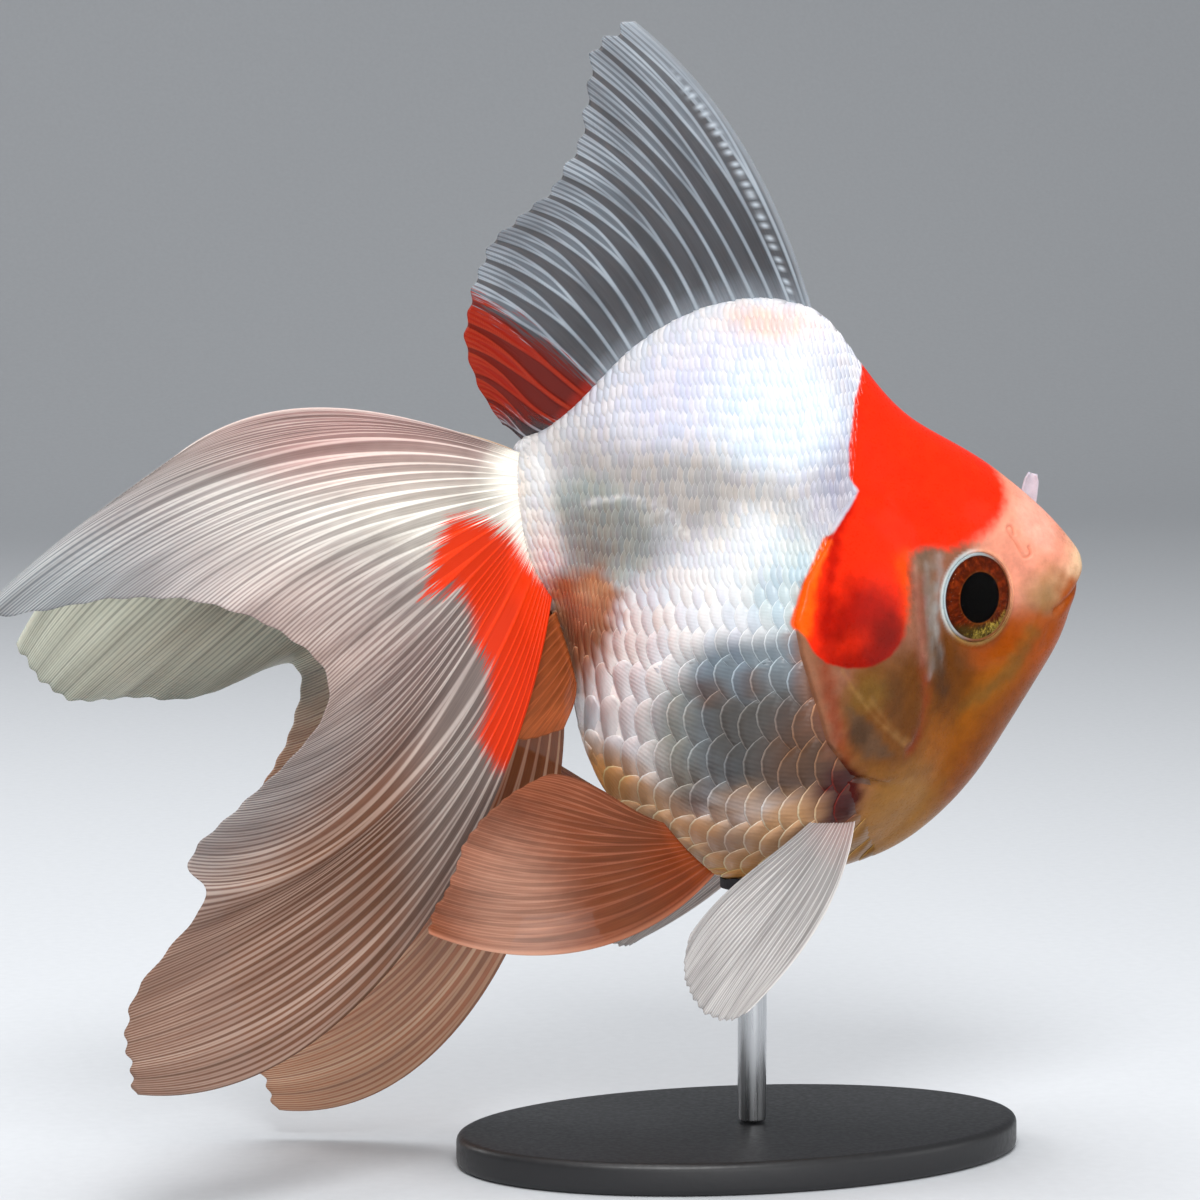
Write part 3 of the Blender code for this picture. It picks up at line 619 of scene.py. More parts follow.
def refine(made, reach):
    """Halves the skin's faces near the fine details of the head."""
    mesh = made.data
    near = detail_distance(body_point(*sphere_place(mesh))) < reach
    mesh.edges.foreach_set("select", np.zeros(len(mesh.edges), bool))
    mesh.polygons.foreach_set("select", np.zeros(len(mesh.polygons), bool))
    mesh.vertices.foreach_set("select", near)
    bpy.context.tool_settings.mesh_select_mode = (True, False, False)
    bpy.ops.object.mode_set(mode="EDIT")
    bpy.ops.mesh.subdivide(number_cuts=1, ngon=False)
    bpy.ops.object.mode_set(mode="OBJECT")


def relief(points, look):
    """How far the skin moves along its normal at each body point, in mm."""
    x, z = points[:, 0], points[:, 2]
    depth = look.coat_depth / MM
    move = -depth + (depth - BARE_DEPTH) * soft(inside(x, z, BARE_HEAD), *HEAD_STEP)
    lid = inside(x, z, GILL_COVER)
    fade = soft(GILL_FRONT[0] - x, 0.0, GILL_FRONT[1]) * soft(GILL_TOP[0] - z, 0.0, GILL_TOP[1])
    move += look.gill_raise / MM * soft(lid, *GILL_STEP) * fade
    for height, away, width in GILL_EDGE:
        move += height * hump(lid, away, width) * fade
    for line, height, away, width in HEAD_RELIEF:
        move += height * hump(to_line(x, z, line), away, width)
    return move - look.mouth_depth / MM * hump(to_line(x, z, MOUTH), 0.0, MOUTH_WIDTH)


def orbit(points):
    """The skin drawn in to the eyes: a soft hollow, a raised rim, then down under the ball."""
    radius, height = near_eye(points)
    side = np.where(points[:, 1] > 0, 1.0, -1.0)
    outward = np.stack((sin(EYE_TURN) * side ** 2, cos(EYE_TURN) * side, 0 * side), axis=1)
    rise, rim, rim_width = ORBIT_RIM
    depth, *slope = ORBIT_HOLLOW
    wanted = ORBIT_LEVEL + rise * hump(radius, rim, rim_width) - depth * (1 - soft(radius, *slope))
    pull = (1 - soft(radius, *ORBIT_BLEND)) * (height > 0)
    return points + outward * ((wanted - height) * pull)[:, None]


def build_skin(look):
    """One closed skin over the head, trunk and stalk."""
    made = begin(bpy.ops.mesh.primitive_uv_sphere_add, "skin", segments=SKIN_FACES,
                 ring_count=SKIN_FACES, radius=1.0)
    for reach in DETAIL_REACH:
        refine(made, reach)
    mesh = made.data
    along, around = sphere_place(mesh)
    points = body_point(along, around)
    place = orbit(points + body_normal(along, around) * relief(points, look)[:, None])
    place[:, 0] = np.minimum(place[:, 0], CAD_BOX[1][0] / MM - BOX_CLEARANCE)
    write_points(mesh, place)
    colour_flesh(mesh, points, look)
    edit(made, bpy.ops.mesh.normals_make_consistent, inside=False)
    hand_over(made, material("wet fish skin", wet_skin, look), "skin", "head", "lower_jaw",
              "gill_cover_right", "gill_cover_left", "trunk", "tail_stalk")


def colour_flesh(mesh, points, look):
    """The same markings on skin and scales, read from where they are on the body."""
    palette = {name: linear(code) for name, code in COLOURS.items()}
    palette.update(pearl=look.pearl, cap=look.cap, flap=look.flap, snout=look.snout,
                   peach=look.belly)
    x, z = points[:, 0], points[:, 2]
    hue = paint(x, z, palette["pearl"], MARKINGS, palette)
    radius, height = near_eye(points)
    ring = (soft(radius, *ORBIT_COLOUR) * (height > EYE_BACK))[:, None]
    rear = soft(0.35 * (z - EYE_AT[2]) - (x - EYE_AT[0]), 0.0, 5.0)[:, None]
    lower = soft(EYE_AT[2] - z, -2.0, 5.0)[:, None]
    above, below, behind = (np.array(palette["orbit_" + part])
                            for part in ("above", "below", "rear"))
    rim = above * (1 - lower) + below * lower
    rim += (behind - rim) * rear
    hue += (rim - hue) * ring
    note(mesh, "hue", hue)
    note(mesh, "red_hue", paint(x, z, palette["cap"], RED_MARKINGS, palette))
    note(mesh, "cap", cap_edge(x, z) * (1 - ring[:, 0]) - CAP_LIMIT * ring[:, 0])


# ---- scales ------------------------------------------------------------------
# Scales stand in columns round the body; each column's scales sit between those of its
# neighbours. They are small on the back and stalk, and grow down the belly.
ROW = 2.2                    # from a row of small ones to the next
LENGTH = 1.4                 # half length of a small one
OVERLAP = (0.95, 0.70)       # half height of a small and of a large one, by the row's height
LARGE_ROW = 5.5              # height of a row whose scales are large
BELLY_ROWS = (2.2, 4.5, 7.0, 9.9, 13.3, 17.4, 22.6, 28.8, 35.8, 43.0, 50.2, 57.4, 64.6, 71.8)
BELLY_LENGTHS = (1.4, 1.45, 1.6, 2.1, 2.4, 2.7, 3.5, 3.7, 3.7, 3.7, 3.6, 3.5, 3.4, 3.4)
BELLY_EVERY = (1, 1, 1, 2, 2, 2, 3, 3, 3, 3, 3, 3, 3, 3)      # in every so many columns
BELLY_REAR = (-20.5, -26.5)  # where the large ones end, above and below this level:
BELLY_LEVEL = 82.0
CROWDED = 0.62               # columns closer than this part of a step bear half the scales
TAIL_GAP = 1.2               # from the last column to the tail base
MIDLINE_GAP = 0.6            # from the first and last row to the back's and the belly's midline
HEAD_OVERLAP = 1.6           # how far scales run in under the bare head
STRAY = (0.12, 0.14, 0.08)   # unevenness: along in mm, across in rows, and in height
ROW_WAVE = (0.10, 0.37)      # how far rows wave, in rows, and how fast from column to column
LATERAL_LINE = 97.0
PAST = 0.6                   # how far the table runs past the midlines, in radians
PLATE_FACES = (8, 2)
PLATE_BEND = radians(84)     # the faces of a scale crowd towards its sides by this turn
PLATE_FRONT = (0.95, 0.45)   # its front edge, in half lengths, and how much it curves back
PLATE_REAR = (0.78, 0.9, 0.04)       # its rear edge, how round it is, and the least length
PLATE_LOW = 0.02             # how far its ends stay below the coat's top and bottom
PLATE_CROWN = 0.03           # how far its rear's middle bulges
LARGE_FROM = (1.5, 3.4)      # half lengths from which a scale looks large, and does in full
BAKE_PATCH = 0.003           # a scale's size on the bake map
SEEDS = {-1: 7, 1: 8}


def flank_table():
    """Points, normals and lengths round the body on a grid over the right flank."""
    along = np.linspace(0.0, 1.0, 401)
    around = np.linspace(-PAST, pi + PAST, 441)
    a, b = np.meshgrid(along, around, indexing="ij")
    points = body_point(a, b)
    steps = np.linalg.norm(np.diff(points, axis=1), axis=2)
    arc = np.concatenate((np.zeros((len(along), 1)), np.cumsum(steps, axis=1)), axis=1)
    return along, around, points, body_normal(a, b), arc


def plate_roots(table, look, rng):
    """Where each scale sits: along, around, its half length and its half height."""
    along, around, points, _, arc = table
    middle = len(around) // 2
    path = np.linalg.norm(np.diff(points[:, middle], axis=0), axis=1)
    path = np.concatenate(((0.0,), np.cumsum(path)))
    right = (around > 0) & (around < pi)
    step = look.fine_step / MM
    (lengthwise, across, upright), (wave, pace_of_wave) = STRAY, ROW_WAVE
    roots = []
    for column in range(int(path[-1] / step) - 1):
        start = path[-1] - TAIL_GAP - column * step
        i = int(round(np.interp(start, path, along) * (len(along) - 1)))
        ring, lengths = points[i], arc[i]
        pace = np.linalg.norm(points[i + 1] - ring, axis=1)
        pace /= pace[middle]
        level = np.interp(-LATERAL_LINE, -ring[right, 2], lengths[right])
        low = lengths[right][0] - level + MIDLINE_GAP
        high = lengths[right][-1] - level - MIDLINE_GAP
        small = [(k, k * ROW, LENGTH, ROW, 1) for k in range(int(low / ROW), int(high / ROW) + 1)]
        belly = [(k + 1, s, half, s - (0.0, *BELLY_ROWS)[k], every)
                 for k, (s, half, every) in enumerate(zip(BELLY_ROWS, BELLY_LENGTHS, BELLY_EVERY))]
        for rows, is_belly in ((small, False), (belly, True)):
            for k, s, half, row, every in rows:
                if not low < s < high:
                    continue
                j = int(round(np.interp(level + s, lengths, np.arange(len(around)))))
                if (k + column / (every if pace[j] > CROWDED else 2 * every)) % 2:
                    continue
                on_belly = s > 0
                s += row * (across * (rng.random() - 0.5) + wave * sin(column * pace_of_wave))
                b = np.interp(level + s, lengths, around)
                x, z = np.interp(b, around, ring[:, 0]), np.interp(b, around, ring[:, 2])
                on_belly &= x > BELLY_REAR[int(z < BELLY_LEVEL)]
                under_head = inside(np.array([x]), np.array([z]), BARE_HEAD)[0] > HEAD_OVERLAP
                if on_belly != is_belly or under_head:
                    continue
                a = np.interp(start + lengthwise * (rng.random() - 0.5), path, along)
                tall = OVERLAP[0] + (OVERLAP[1] - OVERLAP[0]) * soft(row, ROW, LARGE_ROW)
                tall *= 1 + upright * (rng.random() - 0.5)
                roots.append((a, b, half, row * tall))
    return np.array(roots)


def sample(grid, rows, columns):
    """Values between the points of a grid, at these fractional rows and columns."""
    i = np.clip(rows.astype(int), 0, grid.shape[0] - 2)
    j = np.clip(columns.astype(int), 0, grid.shape[1] - 2)
    p, q = (rows - i)[..., None], (columns - j)[..., None]
    return ((1 - p) * (1 - q) * grid[i, j] + p * (1 - q) * grid[i + 1, j]
            + (1 - p) * q * grid[i, j + 1] + p * q * grid[i + 1, j + 1])


def plate():
    """One flat scale before it is laid on the body, 2 wide and 2 long, and its faces."""
    made = begin(bpy.ops.mesh.primitive_grid_add, "plate", x_subdivisions=PLATE_FACES[0],
                 y_subdivisions=PLATE_FACES[1], size=2.0)
    apply_step(made, "SOLIDIFY", thickness=1.0, offset=0.0)
    points = read_points(made.data)
    faces = [tuple(face.vertices) for face in made.data.polygons]
    bpy.data.objects.remove(made, do_unlink=True)
    return points, faces


def build_scales(look, skin_look, side):
    """All the scales of one flank as one mesh of thin overlapping plates."""
    table = flank_table()
    along, around, points, normals, arc = table
    shape, faces = plate()
    across = np.sin(shape[:, 0] * PLATE_BEND)
    rear = (shape[:, 1] + 1) / 2
    top = (shape[:, 2] > 0).astype(float)
    rng = np.random.default_rng(SEEDS[side])
    roots = plate_roots(table, look, rng)
    each = rng.random(len(roots))
    a0, b0, half_long, half_high = (roots[:, i:i + 1] for i in range(4))
    front, curve = PLATE_FRONT
    front_edge = -half_long * front * (1 - curve * across ** 2)
    back, roundness, least = PLATE_REAR
    rear_edge = half_long * (back * (1 - across ** 2) ** roundness + least)
    reach = front_edge + (rear_edge - front_edge) * rear
    height = across * half_high
    last = len(along) - 1
    turn_step = around[1] - around[0]
    row, column = a0 * last, (b0 + PAST) / turn_step
    run = sample(points, np.minimum(row + 1, last), column) - sample(points, row, column)
    rows = np.clip(row + reach / np.maximum(np.linalg.norm(run, axis=-1), 0.02), 0, last)
    columns = np.empty_like(rows)
    for n in range(len(roots)):
        lengths = arc[int(round(float(row[n, 0])))]
        start = np.interp(b0[n, 0], around, lengths)
        columns[n] = (np.interp(start + height[n], lengths, around) + PAST) / turn_step
    base = sample(points, rows, columns)
    out = sample(normals, rows, columns)
    depth = look.coat_depth / MM
    lift = (depth - PLATE_LOW) * (reach + half_long) / (2 * half_long) - depth - PLATE_LOW
    lift += PLATE_CROWN * (1 - across ** 2) * rear - (1 - top) * look.thickness / MM
    place = base + out * lift[..., None]
    root_place = np.concatenate((b0 / (2 * pi), a0), axis=1)
    if side > 0:
        place = place * (1, -1, 1)
        base = base * (1, -1, 1)
        root_place[:, 0] = 1 - root_place[:, 0]
        faces = [face[::-1] for face in faces]
    count = len(across)
    every = [tuple(v + n * count for v in face) for n in range(len(roots)) for face in faces]
    mesh = bpy.data.meshes.new("scales")
    mesh.from_pydata((place.reshape(-1, 3) * MM).tolist(), [], every)
    made = bpy.data.objects.new("scales_right" if side < 0 else "scales_left", mesh)
    bpy.context.scene.collection.objects.link(made)
    local = np.stack(np.broadcast_arrays(shape[:, 0] / 2, shape[:, 1] / 2), axis=-1)
    add_uv(mesh, "OFBake", (root_place[:, None] + local[None] * BAKE_PATCH).reshape(-1, 2))
    add_uv(mesh, "plate", np.tile(np.stack((across, rear), axis=-1), (len(roots), 1)))
    colour_flesh(mesh, base.reshape(-1, 3), skin_look)
    note(mesh, "each", np.repeat(each, count))
    note(mesh, "large", np.repeat(soft(half_long[:, 0], *LARGE_FROM), count))
    hand_over(made, material("pearly fish scale", scale_plate, look), "skin")


# ---- eyes --------------------------------------------------------------------
PUPIL = 3.95
IRIS = 6.3
CORNEA = (6.85, 2.2, 2.8)    # its radius, how far out it starts, and how far out it bulges
CORNEA_START = 0.16          # the part of a ball's half that is cut away under it
CORNEA_WALL = 0.1
BALL_BACK = 5.0              # how deep the ball is behind its rim


def eye_depth(radius):
    """How far out the iris, pupil and rim of the ball stand, by distance from the eye's axis."""
    lens = 3.0 + 0.25 * (1 - np.clip(radius / PUPIL, 0, 1) ** 2)
    iris = 3.05 - 0.55 * soft(radius, PUPIL, IRIS) - 0.12 * hump(radius, 4.7, 0.5)
    rim = 2.5 * np.clip(1 - ((radius - IRIS) / (EYE_RADIUS - IRIS)) ** 4, 0, 1) ** 0.5
    seen = np.where(radius < PUPIL, lens, iris)
    return np.where(radius < IRIS, seen, rim)


def seat_eye(made, side, radius, turn, height):
    """Puts a round shape on the eye's axis: distance, angle and height along it."""
    middle, forward, outward = eye_axes(side)
    x, z = radius * np.cos(turn), radius * np.sin(turn)
    place = middle + x[:, None] * forward + height[:, None] * outward
    place[:, 2] += z
    write_points(made.data, place)
    note(made.data, "disc_x", x)
    note(made.data, "disc_z", z)
    edit(made, bpy.ops.mesh.normals_make_consistent, inside=False)


def build_eyes(look):
    """Each eye's ball with iris and pupil, and the clear cornea over it."""
    sphere = bpy.ops.mesh.primitive_uv_sphere_add
    for ending, side in SIDES.items():
        ball = begin(sphere, "eye" + ending, segments=96, ring_count=96, radius=1.0)
        x, y, z = read_points(ball.data).T
        radius = EYE_RADIUS * np.hypot(x, y)
        height = np.where(z >= -1e-6, eye_depth(radius), BALL_BACK * z)
        seat_eye(ball, side, radius, np.arctan2(y, x), height)
        hand_over(ball, material("fish iris", iris_and_pupil, look), "eye", "eye" + ending)
        front = begin(sphere, "cornea" + ending, segments=96, ring_count=80, radius=1.0)
        edit(front, bpy.ops.mesh.bisect, plane_co=(0, 0, CORNEA_START), plane_no=(0, 0, 1),
             clear_inner=True, clear_outer=False)
        x, y, z = read_points(front.data).T
        wide, start, bulge = CORNEA
        seat_eye(front, side, wide * np.hypot(x, y), np.arctan2(y, x), start + bulge * z)
        apply_step(front, "SOLIDIFY", thickness=CORNEA_WALL * MM, offset=0.0)
        hand_over(front, material("clear cornea", clear_cornea), "eye")


# ---- nasal flaps -------------------------------------------------------------
# Middle, width and height, and the turns: forwards and out to the side.
FLAPS = {
    "nasal_flap_right": ((40.9, -8.6, 94.0), (1.2, 3.6), -34.0, 38.0),
    "nasal_flap_left": ((48.4, 7.4, 98.8), (2.8, 9.2), 14.0, -12.0),
}
FLAP_COLOUR = "#BCB2BC"
FLAP_WALL = 0.34
FLAP_TIP = 0.88              # the part of a flap's height above which it narrows to its tip


def build_flaps(look):
    """The small skin flap between a side's two nostrils, lying down on one side only."""
    for name, (middle, size, lean, splay) in FLAPS.items():
        made = begin(bpy.ops.mesh.primitive_grid_add, name, x_subdivisions=12,
                     y_subdivisions=20, size=1.0)
        flat = read_points(made.data)
        up = flat[:, 1] + 0.5
        wide = size[0] * (0.78 + 0.22 * np.sin(pi * up ** 0.8))
        wide *= 1 - 3.2 * np.maximum(up - FLAP_TIP, 0)
        x = flat[:, 0] * wide
        y = 0.35 * np.cos(flat[:, 0] * pi) - 0.25 * up ** 2
        z = flat[:, 1] * size[1]
        s, c = sin(radians(splay)), cos(radians(splay))
        y, z = y * c - z * s, y * s + z * c
        s, c = sin(radians(lean)), cos(radians(lean))
        x, z = x * c + z * s, z * c - x * s
        write_points(made.data, np.stack((x, y, z), axis=1) + middle)
        apply_step(made, "SOLIDIFY", thickness=FLAP_WALL * MM, offset=0.0)
        count = len(made.data.vertices)
        for hue in ("hue", "red_hue"):
            note(made.data, hue, np.tile(linear(FLAP_COLOUR), (count, 1)))
        note(made.data, "cap", np.full(count, -CAP_LIMIT))
        hand_over(made, material("wet fish skin", wet_skin, look), "skin", name)


# ---- fins --------------------------------------------------------------------
# The fins' settings give two more: fin_red and fin_orange.
FIN_COLOURS = {
    # The dorsal fin's lighter grey is a painted highlight colour.
    "dorsal_grey": "#586068", "dorsal_ray": "#C8D2DA", "dorsal_light": "#7E868E",
    "fin_dark": "#460902", "tail_white": "#A39C97", "tail_mauve": "#8A7672", "tail_ray": "#FBF6EA",
    "tail_cool": "#667279", "tail_brown": "#6A4430", "tail_pink": "#B88884", "tail_root": "#FBF2E4",
    "far_green": "#4E625C", "far_ray": "#E2E0CC", "far_pink": "#9C6242", "pelvic_red": "#7E4228",
    # The pelvic fin's paler tone is a painted highlight colour.
    "pelvic_light": "#B0826E", "pelvic_root": "#8C3C16", "pelvic_ray": "#C0907A",
    "pectoral": "#A09C9A", "pectoral_ray": "#DAD6D4", "pectoral_root": "#B89A94", "anal": "#964A24",
    "anal_ray": "#9A5C3A",
}
DORSAL_PATCH = ((-43.6, 133.6), (-25, 120.4), (-21, 116), (-26, 112), (-41, 114.6), (-46, 120))
TAIL_PATCH = ((-47.4, 99.8), (-41.2, 99.2), (-36.8, 96.4), (-32, 90), (-26, 86), (-22, 76),
    (-32, 60), (-40.4, 62.6), (-43.5, 67.6), (-41.5, 73.1), (-41.6, 78.8), (-43.6, 81.8),
    (-44.3, 86.1), (-46.6, 90), (-52.6, 89), (-50.2, 95.7))
# rays, and where out along one it forks; spread, between its branches; size, the faces across
# a ray and out along it; thick, in mm; strands and pale, how bright and how pale the rays are;
# red and dark, the patch's colour and how dark it is between rays; relief, of the branches;
# clear, how much light membrane and rays stop; scallop, how deep the margin dips between rays;
# gap, how dark the membrane between rays is near the root and near the margin; colours of
# membrane and rays; the patch's outline; and layers of colour, as for the body.
FIN_BASE = {"spread": 0.245, "thick": 0.34, "red": "fin_red", "dark": 0, "scallop": 0.008,
            "gap": (0.88, 0.94), "patch": None}
TAIL_BASE = {**FIN_BASE, "rays": 34, "forks": (0.16, 0.42, 0.62), "thick": 0.4,
             "red": "fin_orange", "relief": 0.26, "scallop": 0.006}
FIN_LOOKS = {
    "dorsal_fin": {
        **FIN_BASE, "rays": 19, "forks": (0.3, 0.56, 0.74), "spread": 0.22, "size": (18, 76),
        "thick": 0.45, "strands": 0.7, "pale": 0.6, "dark": 0.85, "relief": 0.5,
        "clear": (0.86, 0.98), "scallop": 0.02, "gap": (0.42, 0.5),
        "membrane": "dorsal_grey", "ray": "dorsal_ray", "patch": DORSAL_PATCH,
        "layers": (
            # Painted highlights: lighter grey bands along the front ray and along the base.
            ("dorsal_light", 0.8, 5, "line", ((12, 130), (2, 148), (-10, 163), (-18, 173)), 2.4),
            ("dorsal_light", 0.6, 8, "line", ((10, 128), (-2, 131), (-14, 126), (-22, 119)), 3.5),
            ("fin_dark", 0.7, 4, "oval", (-38, 113), (9, 3))),
    },
    "tail_right": {
        **TAIL_BASE, "size": (14, 100), "strands": 0.85, "pale": 0.26, "dark": 0.25,
        "clear": (0.84, 0.98), "gap": (0.64, 0.9),
        "membrane": "tail_mauve", "ray": "tail_ray", "patch": TAIL_PATCH,
        "layers": (
            # The upper lobe's pale middle: partly its own colour, partly a painted highlight.
            ("tail_white", 0.9, 18, "oval", (-62, 104), (30, 14), -18),
            ("tail_pink", 0.8, 9, "oval", (-62, 111), (22, 6), -8),
            ("tail_mauve", 0.6, 10, "oval", (-74, 88), (13, 5), 12),
            ("tail_mauve", 0.7, 6, "oval", (-80, 110.6), (13, 3), 16),
            ("tail_cool", 0.85, 22, "oval", (-108, 90), (22, 12), 25),
            ("tail_brown", 0.95, 26, "oval", (-82, 38), (44, 34), 40),
            ("tail_cool", 0.55, 14, "oval", (-82, 62), (20, 7), 30),
            ("tail_white", 0.5, 12, "oval", (-46, 62), (7, 20), -12),
            ("tail_root", 0.6, 12, "oval", (-46, 101), (15, 6), -10),
            ("tail_root", 1, 6, "line", ((-33, 108), (-37, 99), (-31, 88)), 5)),
    },
    "tail_left": {
        **TAIL_BASE, "size": (14, 90), "strands": 0.9, "pale": 0.42, "clear": (0.8, 0.95),
        "gap": (0.7, 0.84), "membrane": "far_pink", "ray": "far_ray",
        "layers": (("far_green", 1, 16, "oval", (-94, 82), (46, 22)),
                   ("far_ray", 0.4, 16, "oval", (-92, 80), (24, 10)),
                   ("anal", 0.85, 12, "oval", (-37, 72), (11, 18))),
    },
    "pelvic_fin": {
        **FIN_BASE, "rays": 14, "forks": (0.22, 0.5), "size": (16, 60), "strands": 0.5,
        "pale": 0.35, "relief": 0.22, "clear": (0.8, 0.96),
        "membrane": "pelvic_red", "ray": "pelvic_ray",
        # Painted highlight: a brighter patch where light falls on the fin's rear part.
        "layers": (("pelvic_light", 0.8, 12, "oval", (-39, 41), (8, 13), 20),
                   ("pelvic_root", 0.9, 9, "oval", (-8, 47), (9, 9))),
    },
    "pectoral_fin": {
        **FIN_BASE, "rays": 16, "forks": (0.3, 0.55), "size": (14, 60), "thick": 0.42,
        "strands": 0.8, "pale": 0.6, "relief": 0.3, "clear": (0.9, 0.99), "gap": (0.86, 0.9),
        "membrane": "pectoral", "ray": "pectoral_ray",
        "layers": (("pectoral_root", 0.9, 8, "oval", (13, 57), (7, 8)),),
    },
    "anal_fin": {
        **FIN_BASE, "rays": 11, "forks": (0.35, 0.62), "size": (14, 30), "strands": 0.5,
        "pale": 0.4, "relief": 0.26, "clear": (0.8, 0.95), "scallop": 0.012,
        "membrane": "anal", "ray": "anal_ray", "layers": (),
    },
}
FORK_LENGTH = 0.40           # the part of a ray over which its branches part
EVEN_AT = 0.72               # how far out rays stand evenly
TEETH = 30                   # saw teeth on the dorsal fin's first ray
FIRST_RAY = (0.45, 0.1)      # from where to where, in ray spacings, the first ray rises
# Thickness, as parts of the fin's own: of the membrane, more of it within a ray's branches,
# the least, how much is lost towards the margin, and half widths of a raised branch at the
# root and at the margin, in ray spacings.
MEMBRANE, WITHIN_RAY, LEAST = 0.34, 0.14, 0.08
MARGIN_LOSS = 0.45
BRANCH_WIDTH = (0.13, 0.05)
LOBES_FROM = 0.6             # how far out the dips between rays begin
TAIL_CLEARANCE = 0.25        # how far the tail tip stays inside the solids' box
NO_PATCH = -9.0


def branches(out, style):
    """How far apart a ray's branches stand, as parts of the spacing between rays."""
    return [style["spread"] / 2 ** i * soft(out, fork, fork + FORK_LENGTH)
            for i, fork in enumerate(style["forks"][:2])]


def strand_distance(place, out, style):
    """Distances from the nearest ray's middle and from its nearest branch."""
    middle = np.abs(place - np.floor(place) - 0.5)
    near = middle
    for offset in branches(out, style):
        near = np.abs(near - offset)
    return middle, near


def even_across(fin, part):
    """The fin's across value that divides its outer width evenly."""
    across = np.linspace(0, 1, 600)
    line = ray_point(fin, across, np.full(600, EVEN_AT))
    run = np.concatenate(((0.0,), np.cumsum(np.linalg.norm(np.diff(line, axis=0), axis=1))))
    return np.interp(part, run / run[-1], across)


def build_fin(name, kind, side, look, *nodes):
    """A fin as one thin closed sheet with its rays raised on both faces."""
    fin, style = FINS[kind], FIN_LOOKS[kind]
    rays, (per_ray, rows) = style["rays"], style["size"]
    made = begin(bpy.ops.mesh.primitive_grid_add, name, x_subdivisions=rays * per_ray,
                 y_subdivisions=rows, size=1.0)
    mesh = made.data
    flat = read_points(mesh)
    part, out = flat[:, 0] + 0.5, np.clip(flat[:, 1] + 0.5, 0, 1)
    place = part * rays
    middle, near = strand_distance(place, out, style)
    at_root, at_margin = BRANCH_WIDTH
    ridge = hump(near, 0.0, at_root + (at_margin - at_root) * out)
    across = even_across(fin, part)
    uneven = 0.5 + 0.5 * np.sin(place * 2.1) * np.sin(place * 0.73)
    lobes = style["scallop"] * (np.sin(middle * pi) ** 2 + uneven)
    reach = out * (1 - lobes * soft(out, LOBES_FROM, 1.0))
    points = ray_point(fin, across, reach) * (1, side, 1)
    points[:, 0] = np.maximum(points[:, 0], CAD_BOX[0][0] / MM + TAIL_CLEARANCE)
    write_points(mesh, points)
    lead = soft(place, *FIRST_RAY)
    if kind == "dorsal_fin":
        teeth = soft(np.sin(out * 2 * pi * TEETH), 0.0, 0.5) * soft(out, 0.85, 0.7)
        lead = np.maximum(0.4 * lead, teeth * hump(place, 1.25 - 0.85 * out, 0.2))
    bundle = soft(middle, 0.2 + 1.5 * style["spread"] * soft(out, 0.3, 1.0), 0.1)
    weight = np.maximum(MEMBRANE + WITHIN_RAY * bundle + style["relief"] * ridge, lead)
    weight *= (1 - MARGIN_LOSS * out) * soft(out, 1.25, 0.9)
    group = made.vertex_groups.new(name="rays")
    for index, value in enumerate(np.clip(weight, LEAST, 1.0)):
        group.add((index,), float(value), "REPLACE")
    palette = {key: linear(code) for key, code in FIN_COLOURS.items()}
    palette.update(fin_red=look.fin_red, fin_orange=look.fin_orange)
    x, z = points[:, 0], points[:, 2]
    note(mesh, "hue", paint(x, z, palette[style["membrane"]], style["layers"], palette))
    patch = inside(x, z, style["patch"]) if style["patch"] else np.full(len(x), NO_PATCH)
    note(mesh, "patch", np.clip(patch, NO_PATCH, -NO_PATCH))
    note(mesh, "lead", lead)
    add_uv(mesh, "ray", np.stack((place, out), axis=1))
    apply_step(made, "SOLIDIFY", thickness=style["thick"] * MM * look.ray_height, offset=0.0,
               vertex_group="rays", thickness_vertex_group=0.0, use_even_offset=False)
    sheet = material("fin skin " + kind.replace("_", " "), fin_sheet, style, palette, look)
    hand_over(made, sheet, "fin", *nodes)


# ---- stand -------------------------------------------------------------------
BASE_BEVEL = 1.2
ROD_BEVEL = 0.3
SHARP_EDGES = {"limit_method": "ANGLE", "angle_limit": radians(40)}


def build_stand(look):
    """A low oval base, a round rod, and the pad the belly rests on."""
    low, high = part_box("stand_base")
    base = begin(bpy.ops.mesh.primitive_cylinder_add, "stand_base_fine", vertices=160,
                 radius=0.5, depth=1.0)
    points = read_points(base.data) * tuple((high - low) / MM)
    write_points(base.data, points + tuple((low + high) / 2 / MM))
    apply_step(base, "BEVEL", width=BASE_BEVEL * MM, segments=4, **SHARP_EDGES)
    coated = material("powder-coated steel", powder_coated_steel, look)
    hand_over(base, coated, "stand_black", "stand_base")
    low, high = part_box("stand_rod")
    middle, radius = (low + high) / 2, (high.x - low.x) / 2
    rod = begin(bpy.ops.mesh.primitive_cylinder_add, "stand_rod_fine", vertices=64, radius=radius,
                depth=high.z - low.z, location=middle)
    bpy.ops.object.transform_apply(location=True)
    apply_step(rod, "BEVEL", width=ROD_BEVEL * MM, segments=3, **SHARP_EDGES)
    brushed = material("brushed stainless steel", brushed_steel)
    hand_over(rod, brushed, "stand_steel", "stand_rod")
    for place in bpy.data.objects["stand_pad"].material_slots:
        place.material = material("moulded silicone rubber", soft_rubber)


# ---- materials ---------------------------------------------------------------
# Inputs by number: of a Map Range, 1 and 2 are from and 3 and 4 are to; of a colour Mix, 0 is
# the amount, 6 lies under 7.
SMOOTH = {"interpolation_type": "SMOOTHSTEP"}
COLOUR = {"data_type": "RGBA"}


